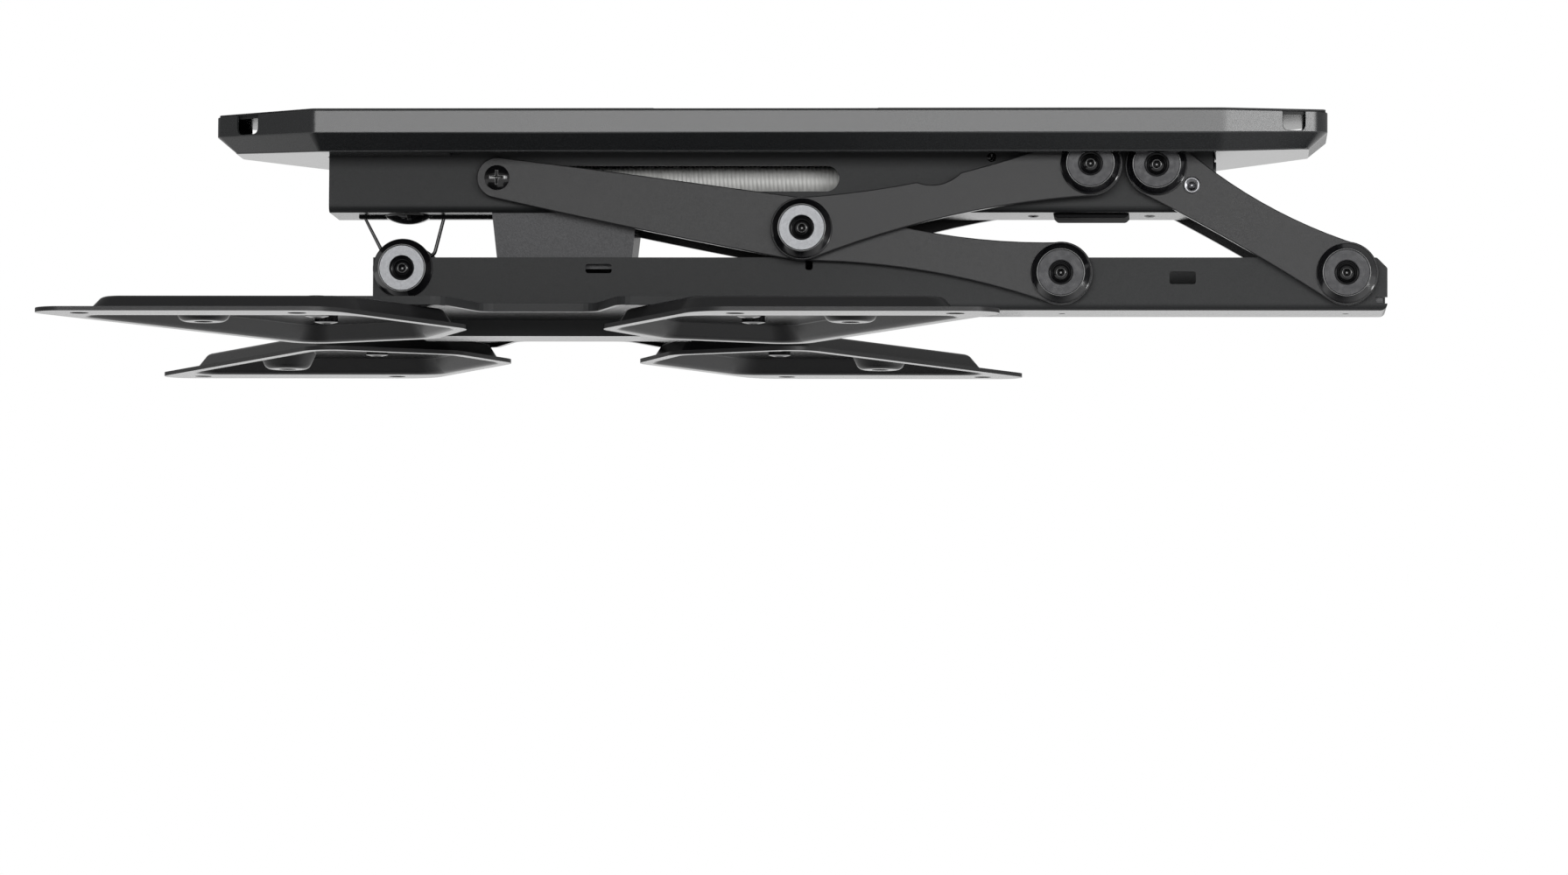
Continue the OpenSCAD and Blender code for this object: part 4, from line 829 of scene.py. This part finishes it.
class MOUNT_OT_pivots(MountPart):
    """Turns the pivot covers with their rings and washers, and makes the screws that hold them.

    A cover is a profile turned round its shaft: a straight rim, a cone, a seat for the ring and a recess for the
    screw. The height of a ring's face follows a cosine of the radius, as fine turned grooves. The screws are
    domes with a recess whose reach is a formula of the angle.
    """
    bl_idname, bl_label = "mount.pivots", "Pivots"

    def execute(self, context):
        edge = sizes().metal_edge
        dress(["lift_pivot_shaft", "end_pivot_shaft", "middle_shaft", "rail_shafts"], "bright", edge)
        dress(["fixed_spacers", "long_arm_spacers"], "zinc", edge / 2)
        groups = {}
        for name, node, body, at, seat, bright in pivots():
            _, covers, screws = groups.setdefault(node, (body, Skin(), Skin()))
            rings = Skin()
            for side in (NEAR, FAR):
                place = on_side(side, at, seat)
                self.cover(covers, place, bright)
                self.screw(screws, place, bright)
                self.ring(rings, place, bright)
            slot, look = ("zinc_plated", "washer") if bright else ("gloss_plastic", "ring")
            finished(f"{name}_ring", rings, look, body, [f"{name}_washers"] if bright else [], 60)
        for node, (body, covers, screws) in groups.items():
            finished(f"{node}_covers_turned", covers, "gloss", body, [f"{node}_covers"], 40)
            finished(f"{node}_screws_domed", screws, "screw", body,
                     [f"{node}_pivot_screws"], 40)
        self.flat_screws()
        return {"FINISHED"}

    def cover(self, skin, place, bright):
        s = sizes()
        low, high = limits("end_covers")
        outer = (high[0] - low[0]) / 2
        seat = s.seat_h - (s.ring_t if bright else 0)
        groove = s.cover_h - s.ring_t
        profile = [(0, 0), (outer, 0), (outer, s.cover_rim), (outer - CONE_LIP, s.cover_rim + 0.4 * MM),
                   (s.ring_r + CONE_LIP, s.cover_h), (s.ring_r, s.cover_h), (s.ring_r, groove), (s.recess_r, groove),
                   (s.recess_r - 0.2 * MM, seat + 0.6 * MM), (s.head_r, seat - 0.4 * MM), (0, seat - 0.4 * MM)]
        small = RIM_ROUND
        radii = [0, small, small, small, CONE_ROUND, small, 0, small, small, 0, 0]
        skin.turned(rounded(profile, radii, 3, False), place)

    def ring(self, skin, place, bright):
        s = sizes()
        inner, outer = s.recess_r + RING_GAP, s.ring_r - RING_GAP
        base, edge = s.cover_h - s.ring_t + RING_GAP, s.cover_h - RING_CHAMFER
        r = np.linspace(inner + RING_CHAMFER, outer - RING_CHAMFER, 90)
        groove = BRIGHT_GROOVE if bright else DARK_GROOVE
        face = s.cover_h - groove * (1 - np.cos(2 * pi * r / GROOVE_PITCH))
        skin.turned([(inner, base), (inner, edge), *zip(r, face), (outer, edge), (outer, base)], place, closed=True)

    def screw(self, skin, place, bright):
        s = sizes()
        base = np.array([0, 0, s.seat_h - (s.ring_t if bright else 0)])
        driven_head(skin, lambda p: place(p + base), s.head_r, s.head_h, COVER_SKIRT,
                    hexagon(s.socket_r), COVER_RECESS, lip=COVER_LIP, round_rim=s.socket_r)

    def flat_screws(self):
        """The cross-head screws at the slot and the socket screws beside the end pivots."""
        s = sizes()
        angles = cross_angles(s.cross_l, s.cross_w)
        back, face = limits("end_arm_far")[:, 1]
        for node, body, reach, a, look, rim, lip in (
                ("slide_screws", "long_arms", cross(angles, s.cross_l, s.cross_w), angles, "screw", 0, HEAD_LIP),
                ("stop_screws", "end_arms", hexagon(s.socket_r), HEX_ANGLES, "nickel", STOP_RIM, STOP_LIP)):
            low, high = limits(node)
            r = (high[0] - low[0]) / 2
            skin = Skin()
            for side in (NEAR, FAR):
                driven_head(skin, on_side(side, centre(node)[[0, 2]], face), r, high[1] - face, FLAT_SKIRT, reach,
                            FLAT_RECESS, a, [(r * 2 / 3, 0), (r * 2 / 3, back - face)], lip, rim)
            finished(f"{node}_driven", skin, look, body, [node], 40)


class MOUNT_OT_rail(MountPart):
    """Finishes the rail channel and its end cap"""
    bl_idname, bl_label = "mount.rail", "Rail"

    def execute(self, context):
        dress(["rail_channel"], "powder", sizes().steel_edge)
        dress(["rail_end_cap"], "textured", sizes().moulded_edge / 2)
        return {"FINISHED"}


BOLT_PITCH, BOLT_HEAD_R, BOLT_SOCKET_R, BOLT_HOLE_R = 35 * MM, 5.5 * MM, 2.6 * MM, 3 * MM
BOLT_CROWN, BOLT_RECESS, CLINCH_H, CLINCH_EDGE = 0.8 * MM, 1.6 * MM, 0.8 * MM, 0.25 * MM


class MOUNT_OT_spider(MountPart):
    """Finishes the tilt hinge, the spider plate and its bolts"""
    bl_idname, bl_label = "mount.spider", "Spider Plate"

    def execute(self, context):
        dress(["tilt_hinge", "spider_plate"], "powder", sizes().steel_edge)
        low, high = limits("bracket_bolts")
        r, shank = BOLT_HEAD_R, BOLT_HEAD_R * 0.54
        seat = limits("bracket_arm_near_left")[1][2] - sizes().press_t
        h, top, flush = seat - low[2], high[2], high[2] - CLINCH_H
        skin = Skin()
        for x in (low[0] + r, high[0] - r):
            for y in (high[1] - r, high[1] - r - BOLT_PITCH):
                for at in ((x, -y), (x, y)):
                    driven_head(skin, upright(at, seat, -1), r, h, h - BOLT_CROWN, hexagon(BOLT_SOCKET_R),
                                BOLT_RECESS, shank=[(shank, 0), (shank, seat - flush)], round_rim=BOLT_SOCKET_R)
                    clinch = [(0, flush), (r, flush), (r, top - CLINCH_EDGE), (r - CLINCH_EDGE, top), (0, top)]
                    skin.turned(clinch, upright(at, 0), 48)
        finished("bracket_bolts_driven", skin, "screw", "bracket", ["bracket_bolts"], 40)
        return {"FINISHED"}


ARM_OUTLINE = np.array([[-29.2, -14], [116.5, -14], [169.5, 92], [147.5, 150], [81.5, 186]]) * MM
ARM_CORNER_R = np.array([13, 22, 20, 18, 16]) * MM
FOOT_SHARE, TOP_SHARE = 0.8, 0.6
ARM_STEPS = 10
RING_STEPS = 48
SIDE_HOLE = 100 * MM


class MOUNT_OT_pressed_arms(MountPart):
    """Presses the four arms of the television bracket from sheet.

    The sheet's upper face is built and then made thick. A profile is carried round the arm's outline, which is
    moved inwards and rounded again at each step: flange, hollow bend, slope, round bend, flat top. The boss is a
    turned profile from the top down to the television's back. The flat regions lie between these and the holes.
    """
    bl_idname, bl_label = "mount.pressed_arms", "Pressed Arms"

    def execute(self, context):
        s = sizes()
        plate = next(m for m in frame["record"]["mounts"] if m["name"] == "tv_400x400")
        hole = plate["dims"]["spacing_x_mm"] * MM / 2
        for near_far, side in (("near", -1), ("far", 1)):
            for left_right, end in (("left", -1), ("right", 1)):
                node = f"bracket_arm_{near_far}_{left_right}"
                skin = self.sheet(node, np.array([plate["pos_m"][0] + end * hole, side * hole]), -end, -side)
                obj = finished(f"{node}_pressed", skin, "satin", "bracket", [node], 60,
                               upwards=True)
                modify(obj, "Sheet", "SOLIDIFY", thickness=s.press_t, offset=-1)
                edged(obj, "Sheared edges", s.steel_edge, 2, 60)
        return {"FINISHED"}

    def sheet(self, node, corner, way_x, way_y):
        s = sizes()
        low, high = limits(node)[:, 2]

        def place(p, z=0.0):
            return np.stack([corner[0] + way_x * p[..., 0], corner[1] + way_y * p[..., 1],
                             np.broadcast_to(low + z, p[..., 0].shape)], -1)
        t, top = s.press_t, high - low
        gaps = np.array([s.wide_flange] + [s.narrow_flange] * 4)
        bend = rounded([(-s.press_slope, t), (s.press_slope * t / top, t), (s.press_slope, top),
                        (2 * s.press_slope, top)], [0, t, 1.5 * t, 0], 4, False)[1:-1]
        loops = []
        for d, z in bend:
            share = FOOT_SHARE + (TOP_SHARE - FOOT_SHARE) * d / s.press_slope
            loops.append((rounded(inset(ARM_OUTLINE, gaps + d), ARM_CORNER_R * share, ARM_STEPS), z))
        skin = Skin()
        skin.grid(np.stack([place(loop, z) for loop, z in loops]))
        outer = rounded(ARM_OUTLINE, ARM_CORNER_R, ARM_STEPS)
        holes = [circle(s.tv_hole_r, RING_STEPS, (u, 0)) for u in (0, SIDE_HOLE)]
        skin.fill([outer, loops[0][0], *holes], lambda p: place(p, t))
        boss = (SIDE_HOLE / 2, SIDE_HOLE / 2)
        wall = rounded([(s.boss_r + 2 * t, top), (s.boss_r, top), (s.boss_r - 2 * t, t), (s.tv_hole_r, t)],
                       [0, t, t, 0], 4, False)[1:]
        ring = np.stack([circle(r, RING_STEPS, boss) for r, _ in wall])
        skin.grid(np.stack([place(loop, z) for loop, (_, z) in zip(ring, wall)]))
        low_bolts, high_bolts = limits("bracket_bolts")
        end = low_bolts if way_x > 0 else high_bolts
        at = np.array([(end[0] - corner[0]) * way_x, abs(corner[1]) - high_bolts[1]]) + BOLT_HEAD_R
        bolts = [circle(BOLT_HOLE_R, RING_STEPS, at + [0, k * BOLT_PITCH]) for k in (0, 1)]
        skin.fill([loops[-1][0], ring[0], *bolts], lambda p: place(p, top))
        return skin


# The last of these moves the middle of the floor's painted shadow to the left, in metres.
FLOOR_DROP, FLOOR_R, PAINTED_SHADOW_LEFT = 1.3, 40.0, 0.15


class MOUNT_OT_studio(MountPart):
    """Makes the floor, the backdrop light, the softboxes and the camera"""
    bl_idname, bl_label = "mount.studio", "Studio"

    def execute(self, context):
        scene, s = context.scene, context.scene.mount_studio
        make_world(scene, s)
        make_floor()
        softbox("Front softbox", (0.8, -3.5, 0.4), (0.3, 0.0, -0.05), (5.2, 0.9), s.key)
        softbox("Right softbox", (1.95, -3.3, 0.35), (0.25, 0.0, -0.05), (0.9, 0.8), s.key * 0.16)
        softbox("Low right strip", (2.2, 0.05, -0.95), (0.1, 0.0, -0.06), (1.0, 0.3), s.key * 0.15)
        make_camera(scene, s)
        scene.view_settings.view_transform = "Standard"
        return {"FINISHED"}


def make_world(scene, s):
    """White for the camera, pale to the sides in reflections and even elsewhere."""
    scene.world = bpy.data.worlds.new("Studio")
    tree = new_tree(scene.world)
    path = add(tree, "LightPath").outputs
    x, _, z = add(tree, "SeparateXYZ", [add(tree, "TexCoord").outputs["Generated"]]).outputs
    height = add(tree, "Math", [z], operation="ABSOLUTE")
    band = add(tree, "MapRange", (height, 0.2, 0.75, 1.0, 0.22))
    left = add(tree, "MapRange", (x, -0.95, -0.5, 0.35, 0.08))
    right = add(tree, "MapRange", (x, 0.5, 0.95, 0.0, 0.6))
    side = add(tree, "Math", (left, right), operation="MAXIMUM")
    room = add(tree, "Math", (band, side), operation="MULTIPLY")
    mirrored = add(tree, "Math", (path["Is Glossy Ray"], room), operation="MULTIPLY")
    seen = add(tree, "Math", (path["Is Camera Ray"], path["Is Transmission Ray"]), operation="MAXIMUM")
    shown = add(tree, "Math", (seen, mirrored), operation="MAXIMUM")
    strength = add(tree, "Math", (shown, s.fill), operation="MAXIMUM")
    back = add(tree, "Background", {"Color": (1, 1, 1, 1), "Strength": strength})
    add(tree, "OutputWorld", {"Surface": back})


def make_floor():
    """A pale floor that shows from above only; in reflections it glows, with a painted shadow that is dark under the
    mount and a little to its left.
    """
    skin = Skin()
    skin.fill([circle(FLOOR_R, 128)], lambda p: np.column_stack([p, np.full(len(p), -FLOOR_DROP)]))
    mesh = skin.mesh("floor", upwards=True)
    obj = placed("floor", mesh)
    material = bpy.data.materials.new("Studio floor")
    tree = new_tree(material)
    place = add(tree, "TexCoord").outputs["Object"]
    # Painted shadow: what reflections see of the floor glows dimmer near the mount, centred a little to the left,
    # and fully bright beyond 1.3 m.
    moved = add(tree, "Mapping", {"Vector": place, "Location": (PAINTED_SHADOW_LEFT, 0, 0), "Scale": (1, 1, 0)})
    away = add(tree, "VectorMath", [moved], operation="LENGTH").outputs["Value"]
    painted_shadow_glow = add(tree, "MapRange", (away, 0.25, 1.3, 0.05, 1.0))
    path = add(tree, "LightPath").outputs
    matt = add(tree, "BsdfDiffuse", {"Color": (0.85, 0.85, 0.85, 1)})
    lift = add(tree, "Math", (path["Is Camera Ray"], 0.5), operation="MULTIPLY")
    pale = add(tree, "AddShader", (matt, add(tree, "Emission", {"Strength": lift})))
    reflected_floor_with_painted_shadow = add(tree, "Emission", {"Strength": painted_shadow_glow})
    either = add(tree, "MixShader", (path["Is Glossy Ray"], pale, reflected_floor_with_painted_shadow))
    under = add(tree, "NewGeometry").outputs["Backfacing"]
    side = add(tree, "MixShader", (under, either, add(tree, "BsdfTransparent")))
    add(tree, "OutputMaterial", {"Surface": side})
    mesh.materials.append(material)


def softbox(name, place, target, size, power):
    """An area light that looks from its place to a target."""
    light = bpy.data.lights.new(name, "AREA")
    light.shape = "RECTANGLE"
    light.size, light.size_y = size
    light.energy = power
    obj = placed(name, light)
    obj.location = place
    obj.rotation_euler = (Vector(target) - Vector(place)).to_track_quat("-Z", "Y").to_euler()
    obj.visible_camera = False


CAMERA_PLACE = (0.20639, -3.35826, -0.36766)
CAMERA_YAW, CAMERA_PITCH, CAMERA_ROLL = 3.4092, 3.6401, 0.3131


def make_camera(scene, s):
    """The photograph's long lens, a little below the mount and turned left and up to it."""
    data = bpy.data.cameras.new("Camera")
    data.lens, data.sensor_width = s.lens, 36
    data.clip_start, data.clip_end = 0.1, 200
    camera = placed("Camera", data)
    turn = Matrix.Rotation(radians(CAMERA_YAW), 4, "Z")
    lift = Matrix.Rotation(radians(90 + CAMERA_PITCH), 4, "X")
    roll = Matrix.Rotation(radians(CAMERA_ROLL), 4, "Z")
    camera.matrix_world = Matrix.Translation(CAMERA_PLACE) @ turn @ lift @ roll
    scene.camera = camera


class MOUNT_PT_panel(bpy.types.Panel):
    """Lists the sizes, the colours and the steps that dress the mount"""
    bl_idname, bl_space_type, bl_region_type = "MOUNT_PT_panel", "VIEW_3D", "UI"
    bl_label = bl_category = "Ceiling Mount"

    def draw(self, context):
        for key, group in GROUPS.items():
            box = self.layout.box()
            for name in group.__annotations__:
                box.prop(getattr(context.scene, key), name)
        for step in STEPS:
            self.layout.operator(step.bl_idname)


GROUPS = {"mount_sizes": MountSizes, "mount_colours": MountColours, "mount_studio": StudioSettings}
STEPS = (MOUNT_OT_ceiling_plate, MOUNT_OT_cover, MOUNT_OT_drive_box, MOUNT_OT_drive, MOUNT_OT_lead_screw,
         MOUNT_OT_carriage, MOUNT_OT_control_box, MOUNT_OT_arms, MOUNT_OT_pivots, MOUNT_OT_rail, MOUNT_OT_spider,
         MOUNT_OT_pressed_arms, MOUNT_OT_studio)
CLASSES = (*GROUPS.values(), *STEPS, MOUNT_PT_panel)


def register():
    for made in CLASSES:
        bpy.utils.register_class(made)
    for name, group in GROUPS.items():
        setattr(bpy.types.Scene, name, bpy.props.PointerProperty(type=group))


def unregister():
    for name in GROUPS:
        delattr(bpy.types.Scene, name)
    for made in reversed(CLASSES):
        bpy.utils.unregister_class(made)


def main():
    """Registers the add-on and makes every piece."""
    register()
    finish.update(make_materials())
    for step in STEPS:
        getattr(bpy.ops.mount, step.bl_idname.split(".")[1])()


if __name__ == "__main__":
    main()
